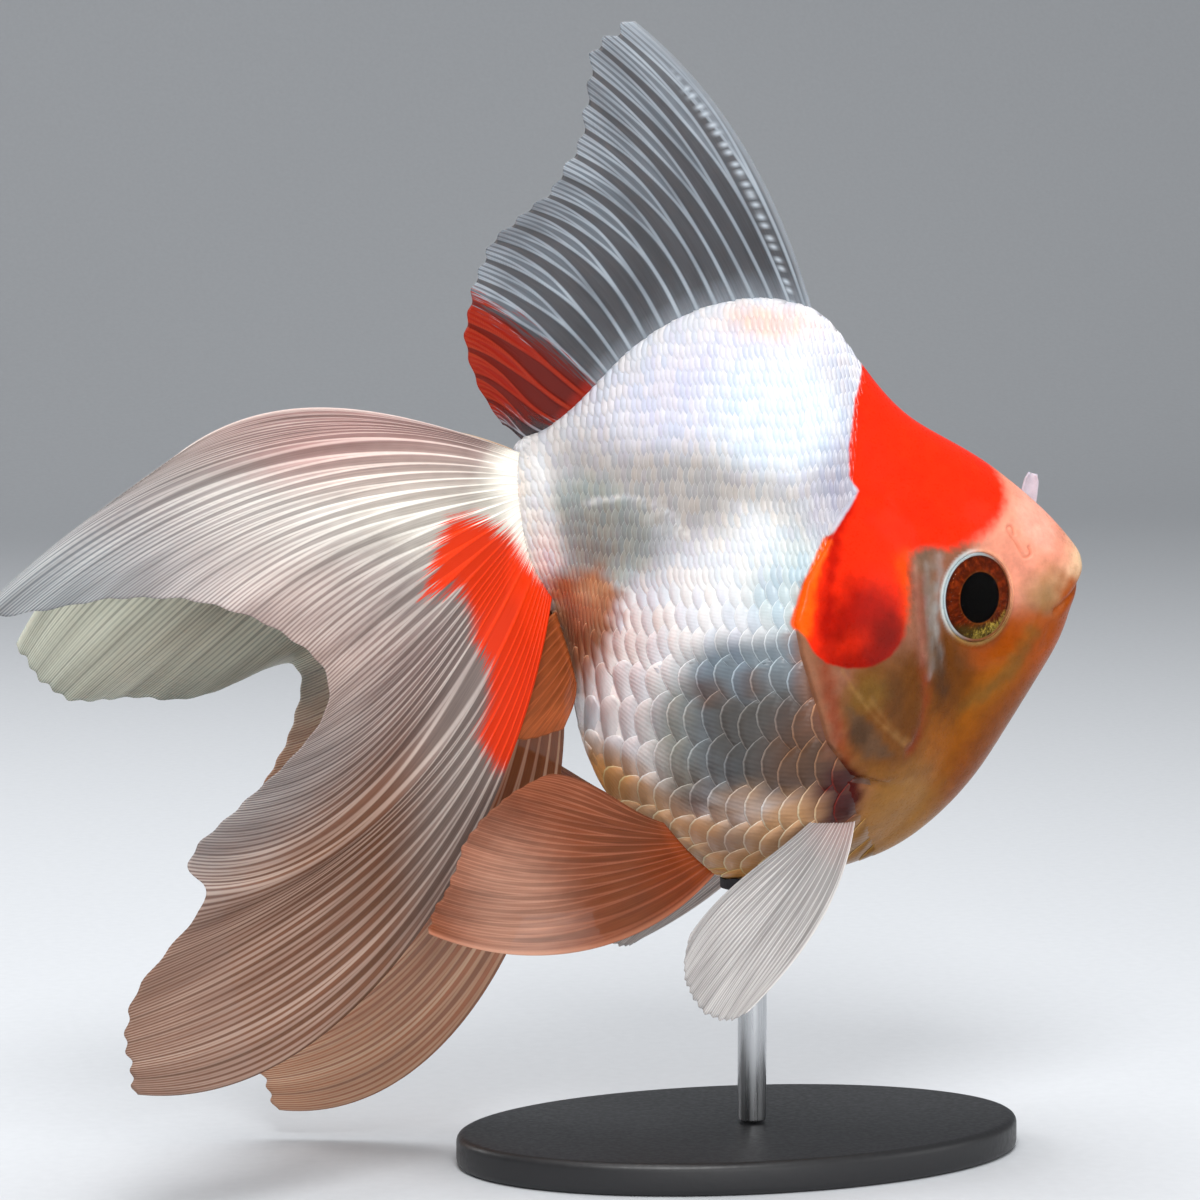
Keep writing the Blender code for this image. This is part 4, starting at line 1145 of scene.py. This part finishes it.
def add_node(tree, kind, inputs=(), **settings):
    """Adds a node with its settings; an input is a value, or a node or socket to link from."""
    made = tree.nodes.new("ShaderNode" + kind)
    for name, value in settings.items():
        setattr(made, name, value)
    for key, value in dict(inputs).items():
        if isinstance(value, bpy.types.Node):
            value = next(socket for socket in value.outputs if socket.enabled)
        if isinstance(value, bpy.types.NodeSocket):
            tree.links.new(value, made.inputs[key])
        else:
            made.inputs[key].default_value = value
    return made


def material(name, build, *details):
    """The material of this name. The first time, its builder is given a function that adds
    nodes, and gives back the inputs of the surface shader."""
    if name not in bpy.data.materials:
        made = bpy.data.materials.new(name)
        made.use_nodes = True
        made.node_tree.nodes.clear()
        add = partial(add_node, made.node_tree)
        add("OutputMaterial", {"Surface": add("BsdfPrincipled", build(add, *details))})
    return bpy.data.materials[name]


def rgba(colour):
    """A colour for a socket, from a hex code or from linear red, green and blue."""
    return (*(linear(colour) if isinstance(colour, str) else colour), 1.0)


# A noise's scale is in grains to the metre: 1000 gives grains of 1 mm.
def flesh_colour(add, depth):
    """White and red markings with an uneven edge between them, and faint mottling."""
    place = add("TexCoord").outputs["Object"]
    ragged = add("TexNoise", {"Vector": place, "Scale": 900.0, "Detail": 3.0})
    uneven = add("MapRange", {0: ragged, 3: -0.38, 4: 0.38})
    edge = add("Attribute", attribute_name="cap").outputs["Fac"]
    shifted = add("Math", {0: edge, 1: uneven}, operation="ADD")
    amount = add("MapRange", {0: shifted, 1: -0.6, 2: 0.6}, **SMOOTH)
    hue = add("Attribute", attribute_name="hue").outputs["Color"]
    red = add("Attribute", attribute_name="red_hue").outputs["Color"]
    colour = add("Mix", {0: amount, 6: hue, 7: red}, **COLOUR)
    mottle = add("TexNoise", {"Vector": place, "Scale": 450.0, "Detail": 5.0, "Roughness": 0.66})
    level = add("MapRange", {0: mottle, 1: 0.25, 2: 0.75, 3: 1 - depth, 4: 1 + depth})
    colour = add("HueSaturation", {"Value": level, "Color": colour})
    return colour, place


def wet_skin(add, look):
    """Living fish skin under a film of slime, smooth and moist: a soft shine over
    fine pores, and light that goes a little way in. The pores are drawn at 0.5 mm,
    coarser than real ones, to show."""
    colour, place = flesh_colour(add, 0.20)
    pores = add("TexNoise", {"Vector": place, "Scale": 2000.0, "Detail": 2.0})
    folds = add("TexNoise", {"Vector": place, "Scale": 420.0, "Detail": 2.0})
    uneven = add("Math", {0: pores, 1: 0.3, 2: folds}, operation="MULTIPLY_ADD")
    bump = add("Bump", {"Strength": 0.35, "Distance": 0.0003, "Height": uneven})
    gloss = add("MapRange", {0: pores, 1: 0.3, 2: 0.7, 3: 0.24, 4: 0.38})
    return {"Base Color": colour, "Roughness": gloss, "IOR": 1.38, "Normal": bump,
            "Specular IOR Level": 0.10, "Subsurface Weight": 0.08,
            "Subsurface Radius": (1.0, 0.35, 0.2), "Subsurface Scale": 0.0010,
            "Coat Weight": look.wetness, "Coat Roughness": 0.10}


def scale_plate(add, look):
    """Bony fish scale with a pearly lining, thin and polished: a pale rear rim, fine
    lines fanning out from the root and a soft shine, with some plates bluer than others."""
    colour, _ = flesh_colour(add, 0.08)
    plate_place = add("SeparateXYZ", {0: add("UVMap", uv_map="plate")})
    across, rear = plate_place.outputs[0], plate_place.outputs[1]
    each = add("Attribute", attribute_name="each").outputs["Fac"]
    large = add("Attribute", attribute_name="large").outputs["Fac"]
    tint = add("ValToRGB", {0: each})
    ramp = tint.color_ramp
    for spot, code in ((0.0, "#EEECF6"), (0.35, "#FFFFFF"), (0.7, "#FFF8F2"), (1.0, "#E4ECF4")):
        stop = ramp.elements.new(spot) if 0 < spot < 1 else ramp.elements[int(spot)]
        stop.color = rgba(code)
    tinted = add("MapRange", {0: large, 3: 0.75, 4: 0.45})
    colour = add("Mix", {0: tinted, 6: colour, 7: tint}, blend_type="MULTIPLY", **COLOUR)
    # Painted shade where a plate comes out from under the one before, deeper on large ones.
    deep = add("MapRange", {0: large, 3: 0.45 * look.shade, 4: look.shade})
    painted_shade = add("MapRange", {0: rear, 1: 0.92, 2: 0.60, 4: deep}, **SMOOTH)
    shade = rgba("#8A868C")
    colour = add("Mix", {0: painted_shade, 6: colour, 7: shade}, blend_type="MULTIPLY", **COLOUR)
    strong = add("MapRange", {0: large, 3: 0.5 * look.rim, 4: look.rim})
    rim = add("MapRange", {0: rear, 1: 0.94, 2: 0.98, 4: strong}, **SMOOTH)
    pale = colour
    for _ in range(2):
        pale = add("Mix", {0: 1.0, 6: pale, 7: pale}, blend_type="SCREEN", **COLOUR)
    colour = add("Mix", {0: rim, 6: colour, 7: pale}, **COLOUR)
    fan = add("Math", {0: across, 1: 38.0}, operation="MULTIPLY")
    lines = add("Math", {0: fan}, operation="SINE")
    lines = add("Math", {0: lines, 1: large}, operation="MULTIPLY")
    bump = add("Bump", {"Strength": 0.25, "Distance": 0.00005, "Height": lines})
    return {"Base Color": colour, "Roughness": 0.34, "IOR": 1.45, "Specular IOR Level": 0.3,
            "Normal": bump, "Subsurface Weight": 0.08, "Subsurface Radius": (1.0, 0.6, 0.5),
            "Subsurface Scale": 0.0006, "Coat Weight": look.gloss, "Coat Roughness": 0.22}


def iris_and_pupil(add, look):
    """Fish iris, a dark mirror of pigment round a black pupil: red-brown, with coppery
    flecks above and gold-green ones below, in streaks that run out from the pupil."""
    x = add("Attribute", attribute_name="disc_x").outputs["Fac"]
    z = add("Attribute", attribute_name="disc_z").outputs["Fac"]
    flat = add("CombineXYZ", {0: x, 1: z})
    radius = add("VectorMath", {0: flat}, operation="LENGTH")
    way = add("VectorMath", {0: flat}, operation="NORMALIZE")
    drift = add("Math", {0: radius, 1: 0.12}, operation="MULTIPLY")
    depth = add("CombineXYZ", {2: drift})
    streak_place = add("VectorMath", {0: way, 1: depth}, operation="ADD")
    streak = add("TexNoise", {"Vector": streak_place, "Scale": 6.0, "Detail": 5.0,
                              "Roughness": 0.75})
    spots = add("TexNoise", {"Vector": flat, "Scale": 1.7, "Detail": 4.0, "Roughness": 0.7})
    bright = add("MapRange", {0: streak, 1: 0.42, 2: 0.72}, **SMOOTH)
    colour = add("Mix", {0: bright, 6: rgba(look.iris), 7: rgba(look.iris_glint)}, **COLOUR)
    fleck = add("MapRange", {0: spots, 1: 0.60, 2: 0.74}, **SMOOTH)
    front = add("Math", {0: z, 1: x}, operation="SUBTRACT")
    upper = add("MapRange", {0: front, 1: 1.5, 2: 6.0, 4: fleck}, **SMOOTH)
    olive = add("MapRange", {0: z, 1: -3.4, 2: -5.0, 4: 0.8}, **SMOOTH)
    slope = add("Math", {0: x, 1: 0.22}, operation="MULTIPLY")
    below = add("Math", {0: z, 1: -0.5, 2: slope}, operation="MULTIPLY_ADD")
    gold = add("Math", {0: below, 1: streak}, operation="MULTIPLY")
    glow = add("MapRange", {0: gold, 1: 1.15, 2: 1.75, 4: 0.9}, **SMOOTH)
    line = add("MapRange", {0: radius, 1: PUPIL + 0.24, 2: PUPIL, 4: 0.12}, **SMOOTH)
    shade = add("MapRange", {0: radius, 1: 5.5, 2: IRIS, 4: 0.55}, **SMOOTH)
    slope = add("Math", {0: x, 1: -1.0}, operation="MULTIPLY")
    behind = add("Math", {0: z, 1: 0.5, 2: slope}, operation="MULTIPLY_ADD")
    pearly = add("MapRange", {0: behind, 1: -3.0, 2: 4.0}, **SMOOTH)
    rim_colour = add("Mix", {0: pearly, 6: rgba("#8A5234"), 7: rgba("#A9B4B6")}, **COLOUR)
    rim = add("MapRange", {0: radius, 1: IRIS - 0.06, 2: IRIS + 0.08}, **SMOOTH)
    black = add("MapRange", {0: radius, 1: PUPIL, 2: PUPIL - 0.15}, **SMOOTH)
    for amount, over in ((upper, rgba("#B8501A")), (olive, rgba("#3A3410")),
                         (glow, rgba("#B09A40")), (line, rgba("#A9702A")),
                         (shade, rgba("#200A04")), (rim, rim_colour), (black, rgba("#020202"))):
        colour = add("Mix", {0: amount, 6: colour, 7: over}, **COLOUR)
    bump = add("Bump", {"Strength": 0.4, "Distance": 0.00008, "Height": streak})
    return {"Base Color": colour, "Roughness": 0.4, "IOR": 1.34, "Normal": bump,
            "Specular IOR Level": 0.05}


def clear_cornea(add):
    """Clear cornea, wet and glassy, of nearly the same index as the water about a living
    eye: only a faint shine is seen."""
    return {"Base Color": rgba("#FFFFFF"), "Roughness": 0.01, "IOR": 1.04,
            "Transmission Weight": 1.0}


def fin_sheet(add, style, palette, look):
    """Fin skin stretched over soft branching rays, wet and half clear: pale fibres stand
    out of a thinner membrane that lets the light through."""
    ray_place = add("SeparateXYZ", {0: add("UVMap", uv_map="ray")})
    place, out = ray_place.outputs[0], ray_place.outputs[1]
    part = add("Math", {0: place}, operation="FRACT")
    middle = add("Math", {0: part, 1: 0.5}, operation="SUBTRACT")
    middle = add("Math", {0: middle}, operation="ABSOLUTE")
    near, edge = middle, 0.10
    for i, fork in enumerate(style["forks"]):
        spread = add("MapRange", {0: out, 1: fork, 2: fork + FORK_LENGTH,
                                  4: style["spread"] / 2 ** i}, **SMOOTH)
        near = add("Math", {0: near, 1: spread}, operation="SUBTRACT")
        near = add("Math", {0: near}, operation="ABSOLUTE")
        edge = add("Math", {0: spread, 1: 0.8, 2: edge}, operation="MULTIPLY_ADD")
    width = add("MapRange", {0: out, 3: 0.15, 4: 0.045})
    thin = add("Math", {0: near, 1: width}, operation="DIVIDE")
    strand = add("MapRange", {0: thin, 1: 1.1, 2: 0.3}, **SMOOTH)
    beside = add("Math", {0: middle, 1: edge}, operation="SUBTRACT")
    deep, shallow = style["gap"]
    bundle = add("MapRange", {0: beside, 1: 0.06, 2: -0.06, 3: deep, 4: 1.06}, **SMOOTH)
    at_edge = add("MapRange", {0: out, 1: 0.35, 2: 0.80, 3: deep, 4: shallow})
    bundle = add("Math", {0: bundle, 1: at_edge}, operation="MAXIMUM")
    at_root = add("MapRange", {0: out, 1: 0.24, 2: 0.02}, **SMOOTH)
    bundle = add("Math", {0: bundle, 1: at_root}, operation="MAXIMUM")
    flat = add("CombineXYZ", {0: place, 1: out})
    grain_place = add("Mapping", {"Vector": flat, "Scale": (11.0, 4.0, 1.0)})
    grain = add("TexNoise", {"Vector": grain_place, "Scale": 1.0, "Detail": 4.0, "Roughness": 0.6})
    wide_place = add("Mapping", {"Vector": grain_place, "Scale": (0.10, 0.65, 1.0)})
    glow = add("TexNoise", {"Vector": wide_place, "Scale": 1.0, "Detail": 2.0})
    hue = add("Attribute", attribute_name="hue").outputs["Color"]
    uneven = add("Math", {0: grain, 1: glow}, operation="ADD")
    level = add("MapRange", {0: uneven, 1: 0.7, 2: 1.3, 3: 0.72, 4: 1.28})
    level = add("Math", {0: level, 1: bundle}, operation="MULTIPLY")
    sheet = add("HueSaturation", {"Value": level, "Color": hue})
    most = style["strands"]
    lit = add("MapRange", {0: glow, 1: 0.3, 2: 0.7, 3: 0.35 * most, 4: most})
    fibre = add("Math", {0: strand, 1: lit}, operation="MULTIPLY")
    lead = add("Attribute", attribute_name="lead").outputs["Fac"]
    fibre = add("Math", {0: fibre, 1: lead}, operation="MAXIMUM")
    ray_colour = add("Mix", {0: 0.9, 6: hue, 7: hue}, blend_type="SCREEN", **COLOUR)
    ray_tint = rgba(palette[style["ray"]])
    ray_colour = add("Mix", {0: style["pale"], 6: ray_colour, 7: ray_tint}, **COLOUR)
    colour = add("Mix", {0: fibre, 6: sheet, 7: ray_colour}, **COLOUR)
    patch = add("Attribute", attribute_name="patch").outputs["Fac"]
    streaky = add("MapRange", {0: grain, 3: -5.5, 4: 5.5})
    ragged = add("Math", {0: patch, 1: streaky}, operation="ADD")
    red = add("MapRange", {0: ragged, 1: -0.8, 2: 0.9}, **SMOOTH)
    bright, dark = rgba(palette[style["red"]]), rgba(palette["fin_dark"])
    gaps = add("MapRange", {0: bundle, 1: 1.0, 2: deep, 4: style["dark"]}, **SMOOTH)
    red_colour = add("Mix", {0: gaps, 6: bright, 7: dark}, **COLOUR)
    streaks = add("Math", {0: fibre, 1: 0.10}, operation="MULTIPLY")
    red_colour = add("Mix", {0: streaks, 6: red_colour, 7: rgba("#FF8A50")}, **COLOUR)
    colour = add("Mix", {0: red, 6: colour, 7: red_colour}, **COLOUR)
    low, high = style["clear"]
    dense = add("Math", {0: grain, 1: 0.25, 2: fibre}, operation="MULTIPLY_ADD")
    stop = add("MapRange", {0: dense, 1: 0.1, 2: 0.9, 3: low * look.membrane, 4: high})
    stop = add("Math", {0: stop, 1: at_root}, operation="MAXIMUM")
    painted = add("Math", {0: red, 1: 0.96}, operation="MULTIPLY")
    stop = add("Math", {0: stop, 1: painted}, operation="MAXIMUM")
    joints = add("Math", {0: out, 1: 360.0}, operation="MULTIPLY")
    joints = add("Math", {0: joints}, operation="SINE")
    joints = add("Math", {0: joints, 1: strand}, operation="MULTIPLY")
    rough = add("Math", {0: joints, 1: 0.25, 2: grain}, operation="MULTIPLY_ADD")
    bump = add("Bump", {"Strength": 0.3, "Distance": 0.0002, "Height": rough})
    return {"Base Color": colour, "Roughness": 0.36, "IOR": 1.4, "Specular IOR Level": 0.18,
            "Normal": bump, "Alpha": stop, "Subsurface Weight": 0.2,
            "Subsurface Radius": (1.0, 0.7, 0.6), "Subsurface Scale": 0.001,
            "Coat Weight": 0.04, "Coat Roughness": 0.2}


def powder_coated_steel(add, look):
    """Powder-coated steel, cured to a satin black: a faint orange peel, drawn at 0.8 mm."""
    place = add("TexCoord").outputs["Object"]
    peel = add("TexNoise", {"Vector": place, "Scale": 1250.0, "Detail": 2.0})
    bump = add("Bump", {"Strength": 0.25, "Distance": 0.0001, "Height": peel})
    gloss = add("MapRange", {0: peel, 1: 0.3, 2: 0.7, 3: 0.36, 4: 0.48})
    paler = rgba([c * 1.5 for c in look.base])
    colour = add("Mix", {0: peel, 6: rgba(look.base), 7: paler}, **COLOUR)
    return {"Base Color": colour, "Roughness": gloss, "IOR": 1.5, "Normal": bump}


def brushed_steel(add):
    """Stainless steel rod, brushed along its length: fine upright streaks in the shine."""
    place = add("TexCoord").outputs["Object"]
    drawn = add("Mapping", {"Vector": place, "Scale": (1.0, 1.0, 0.02)})
    streak = add("TexNoise", {"Vector": drawn, "Scale": 4000.0, "Detail": 3.0})
    colour = add("Mix", {0: streak, 6: rgba("#A9ABAE"), 7: rgba("#D2D4D6")}, **COLOUR)
    gloss = add("MapRange", {0: streak, 1: 0.3, 2: 0.7, 3: 0.22, 4: 0.38})
    bump = add("Bump", {"Strength": 0.15, "Distance": 0.00005, "Height": streak})
    return {"Base Color": colour, "Metallic": 1.0, "Roughness": gloss, "Normal": bump}


def soft_rubber(add):
    """Moulded silicone rubber pad, matt and dark, with a fine dusty grain."""
    place = add("TexCoord").outputs["Object"]
    grain = add("TexNoise", {"Vector": place, "Scale": 2500.0, "Detail": 3.0})
    colour = add("Mix", {0: grain, 6: rgba("#26262A"), 7: rgba("#3A3A3F")}, **COLOUR)
    bump = add("Bump", {"Strength": 0.3, "Distance": 0.0001, "Height": grain})
    return {"Base Color": colour, "Roughness": 0.7, "IOR": 1.43, "Normal": bump}


def matt_paper(add):
    """Matt paper on a roll, pulped and pressed: no shine, and a faint unevenness at 2 mm."""
    place = add("TexCoord").outputs["Object"]
    grain = add("TexNoise", {"Vector": place, "Scale": 500.0})
    colour = add("Mix", {0: grain, 6: rgba("#C9CCD0"), 7: rgba("#D1D4D8")}, **COLOUR)
    return {"Base Color": colour, "Roughness": 0.9}


# ---- stage -------------------------------------------------------------------
# All in metres here, and angles in degrees.
TARGET = Vector((-0.022, 0.0, 0.086))
CAMERA_TURN, CAMERA_RISE, CAMERA_AWAY = -14.0, 6.0, 0.62
CAMERA_LENS, CAMERA_SENSOR, CAMERA_CLIP = 124.0, 36.0, 0.01
FLOOR_WIDTH, FLOOR_LENGTH, FLOOR_FRONT = 6.0, 5.2, 2.0
BEND_START, BEND_RADIUS = 1.1, 0.5
WORLD_COLOUR, WORLD_STRENGTH = "#EEF0F2", 0.34
# Place, size and power of each lamp; all point at the fish.
LAMPS = {
    "key": ((-0.16, -0.62, 0.75), 0.40, 6.4), "top": ((-0.05, 0.10, 0.85), 0.6, 4.4),
    "fill": ((0.75, -0.45, 0.30), 0.6, 1.4), "rim": ((-0.55, 0.55, 0.45), 0.4, 2.0),
    "low": ((0.02, -0.60, 0.05), 0.4, 1.2),
}


def build_floor():
    """A pale floor that curves up into a wall behind."""
    floor = begin(bpy.ops.mesh.primitive_grid_add, "floor", x_subdivisions=8, y_subdivisions=96,
                  size=1.0)
    points = read_points(floor.data)
    run = (points[:, 1] + 0.5) * FLOOR_LENGTH - FLOOR_FRONT
    turn = np.clip((run - BEND_START) / BEND_RADIUS, 0, pi / 2)
    wall = np.maximum(run - BEND_START - BEND_RADIUS * pi / 2, 0)
    y = np.minimum(run, BEND_START) + BEND_RADIUS * np.sin(turn)
    z = BEND_RADIUS * (1 - np.cos(turn)) + wall
    write_points(floor.data, np.stack((points[:, 0] * FLOOR_WIDTH, y, z), axis=1) / MM)
    floor.data.shade_smooth()
    floor.data.materials.append(material("matt paper backdrop", matt_paper))


def place_in_scene(name, data, place):
    """Adds a lamp or the camera at its place, turned to the fish."""
    made = bpy.data.objects.new(name, data)
    made.location = place
    made.rotation_euler = (TARGET - made.location).to_track_quat("-Z", "Y").to_euler()
    bpy.context.scene.collection.objects.link(made)
    return made


def build_stage():
    """The floor, a soft even light with five lamps, and the camera."""
    build_floor()
    scene = bpy.context.scene
    scene.world = bpy.data.worlds.new("soft studio")
    scene.world.use_nodes = True
    sky = scene.world.node_tree.nodes["Background"].inputs
    sky["Color"].default_value = rgba(WORLD_COLOUR)
    sky["Strength"].default_value = WORLD_STRENGTH
    for name, (place, size, power) in LAMPS.items():
        lamp = bpy.data.lights.new(name, "AREA")
        lamp.shape = "DISK"
        lamp.size, lamp.energy = size, power
        place_in_scene(name, lamp, place)
    lens = bpy.data.cameras.new("camera")
    lens.lens, lens.sensor_width, lens.clip_start = CAMERA_LENS, CAMERA_SENSOR, CAMERA_CLIP
    turn, rise = radians(CAMERA_TURN), radians(CAMERA_RISE)
    way = Vector((sin(turn) * cos(rise), -cos(turn) * cos(rise), sin(rise)))
    bpy.context.scene.camera = place_in_scene("camera", lens, TARGET + way * CAMERA_AWAY)
    scene.view_settings.view_transform = "Standard"


# ---- sizes and colours a user may change -------------------------------------
def length(name, description, mm):
    return FloatProperty(name=name, description=description, default=mm * MM, unit="LENGTH")


def share(name, description, default):
    return FloatProperty(name=name, description=description, default=default, min=0.0, max=1.0,
                         subtype="FACTOR")


def tone(name, description, code):
    return FloatVectorProperty(name=name, description=description, default=linear(code), size=3,
                               min=0.0, max=1.0, subtype="COLOR")


class GOLDFISH_PG_body(bpy.types.PropertyGroup):
    coat_depth: length("Coat depth", "How far the skin lies inside the scales' outer surface", 0.20)
    gill_raise: length("Gill cover height", "How far a gill cover stands proud of the flank", 0.6)
    mouth_depth: length("Mouth depth", "Depth of the line between the lips", 0.22)
    wetness: share("Wetness", "Strength of the clear film over the skin", 0.04)
    pearl: tone("Body", "Colour of the body where nothing lies over it", "#EEEDF0")
    belly: tone("Belly", "Colour of the belly's lower side", "#DCA470")
    cap: tone("Cap", "Colour of the top of the head and the upper gill cover", "#E6280A")
    flap: tone("Gill edge", "Colour of the gill cover's rear edge", "#F0560A")
    snout: tone("Snout", "Colour of the snout's upper side", "#E4947A")


class GOLDFISH_PG_scales(bpy.types.PropertyGroup):
    coat_depth: length("Coat depth", "Height of a scale's rear edge over its front edge", 0.20)
    fine_step: length("Column step", "Distance from one column of scales to the next", 0.46)
    thickness: length("Thickness", "Thickness of a scale", 0.03)
    rim: share("Rim", "Strength of the pale rear rim", 0.8)
    # Painted shade: how dark a scale is drawn where it comes out from under the one before.
    shade: share("Shade", "Darkness where a scale comes out from under the one before", 0.30)
    gloss: share("Gloss", "Strength of the clear film over the scales", 0.20)


class GOLDFISH_PG_eyes(bpy.types.PropertyGroup):
    iris: tone("Iris", "Main colour of the iris", "#461303")
    iris_glint: tone("Glint", "Colour of the streaks in the iris", "#822C0A")


class GOLDFISH_PG_fins(bpy.types.PropertyGroup):
    ray_height: FloatProperty(name="Ray height", description="How far rays stand out of a fin",
                              default=1.0, min=0.2, max=1.5)
    membrane: share("Membrane", "How much light the fins' membrane stops", 1.0)
    fin_red: tone("Dorsal patch", "Colour of the patch at the dorsal fin's rear", "#861402")
    fin_orange: tone("Tail patch", "Colour of the patch at the tail's root", "#EC3406")


class GOLDFISH_PG_stand(bpy.types.PropertyGroup):
    base: tone("Base", "Colour of the stand's base", "#1A1A1C")


# ---- operators ---------------------------------------------------------------
class GOLDFISH_OT_skin(bpy.types.Operator):
    """Model the skin of the head, trunk and stalk"""
    bl_idname = "goldfish.skin"
    bl_label = "Skin"

    def execute(self, context):
        build_skin(context.scene.goldfish_body)
        return {"FINISHED"}


class GOLDFISH_OT_scales(bpy.types.Operator):
    """Lay the scales over both flanks"""
    bl_idname = "goldfish.scales"
    bl_label = "Scales"

    def execute(self, context):
        for side in (-1, 1):
            build_scales(context.scene.goldfish_scales, context.scene.goldfish_body, side)
        return {"FINISHED"}


class GOLDFISH_OT_eyes(bpy.types.Operator):
    """Model both eyes with their corneas"""
    bl_idname = "goldfish.eyes"
    bl_label = "Eyes"

    def execute(self, context):
        build_eyes(context.scene.goldfish_eyes)
        return {"FINISHED"}


class GOLDFISH_OT_flaps(bpy.types.Operator):
    """Model the skin flaps at the nostrils"""
    bl_idname = "goldfish.flaps"
    bl_label = "Nasal Flaps"

    def execute(self, context):
        build_flaps(context.scene.goldfish_body)
        return {"FINISHED"}


class GOLDFISH_OT_dorsal_fin(bpy.types.Operator):
    """Model the dorsal fin"""
    bl_idname = "goldfish.dorsal_fin"
    bl_label = "Dorsal Fin"

    def execute(self, context):
        build_fin("dorsal_fin_fine", "dorsal_fin", 1, context.scene.goldfish_fins, "dorsal_fin")
        return {"FINISHED"}


class GOLDFISH_OT_tail(bpy.types.Operator):
    """Model both sides of the tail fin"""
    bl_idname = "goldfish.tail"
    bl_label = "Tail Fin"

    def execute(self, context):
        for name in ("tail_right", "tail_left"):
            build_fin(name, name, 1, context.scene.goldfish_fins, name + "_upper", name + "_lower")
        return {"FINISHED"}


class GOLDFISH_OT_paired_fins(bpy.types.Operator):
    """Model the pectoral, pelvic and anal fins of both sides"""
    bl_idname = "goldfish.paired_fins"
    bl_label = "Paired Fins"

    def execute(self, context):
        for kind in ("pectoral_fin", "pelvic_fin", "anal_fin"):
            for ending, side in SIDES.items():
                name = kind + ending
                build_fin(name + "_fine", kind, side, context.scene.goldfish_fins, name)
        return {"FINISHED"}


class GOLDFISH_OT_stand(bpy.types.Operator):
    """Model the display stand"""
    bl_idname = "goldfish.stand"
    bl_label = "Stand"

    def execute(self, context):
        build_stand(context.scene.goldfish_stand)
        return {"FINISHED"}


class GOLDFISH_OT_stage(bpy.types.Operator):
    """Set up the floor, the lights and the camera"""
    bl_idname = "goldfish.stage"
    bl_label = "Stage"

    def execute(self, context):
        build_stage()
        return {"FINISHED"}


GROUPS = {
    "goldfish_body": GOLDFISH_PG_body, "goldfish_scales": GOLDFISH_PG_scales,
    "goldfish_eyes": GOLDFISH_PG_eyes, "goldfish_fins": GOLDFISH_PG_fins,
    "goldfish_stand": GOLDFISH_PG_stand,
}
OPERATORS = (
    GOLDFISH_OT_skin, GOLDFISH_OT_scales, GOLDFISH_OT_eyes, GOLDFISH_OT_flaps,
    GOLDFISH_OT_dorsal_fin, GOLDFISH_OT_tail, GOLDFISH_OT_paired_fins, GOLDFISH_OT_stand,
    GOLDFISH_OT_stage,
)


class GOLDFISH_PT_panel(bpy.types.Panel):
    """The pieces of the fish, with the sizes and colours a user may change"""
    bl_idname = "GOLDFISH_PT_panel"
    bl_label = "Goldfish"
    bl_space_type = "VIEW_3D"
    bl_region_type = "UI"
    bl_category = "Goldfish"

    def draw(self, context):
        for operator in OPERATORS:
            self.layout.operator(operator.bl_idname)
        for name, group in GROUPS.items():
            box = self.layout.box()
            for key in group.__annotations__:
                box.prop(getattr(context.scene, name), key)


def register():
    for item in (*GROUPS.values(), *OPERATORS, GOLDFISH_PT_panel):
        bpy.utils.register_class(item)
    for name, group in GROUPS.items():
        setattr(bpy.types.Scene, name, PointerProperty(type=group))


def unregister():
    for name in GROUPS:
        delattr(bpy.types.Scene, name)
    for item in reversed((*GROUPS.values(), *OPERATORS, GOLDFISH_PT_panel)):
        bpy.utils.unregister_class(item)


def main():
    register()
    bpy.ops.goldfish.skin()
    bpy.ops.goldfish.scales()
    bpy.ops.goldfish.eyes()
    bpy.ops.goldfish.flaps()
    bpy.ops.goldfish.dorsal_fin()
    bpy.ops.goldfish.tail()
    bpy.ops.goldfish.paired_fins()
    bpy.ops.goldfish.stand()
    bpy.ops.goldfish.stage()


if __name__ == "__main__":
    main()
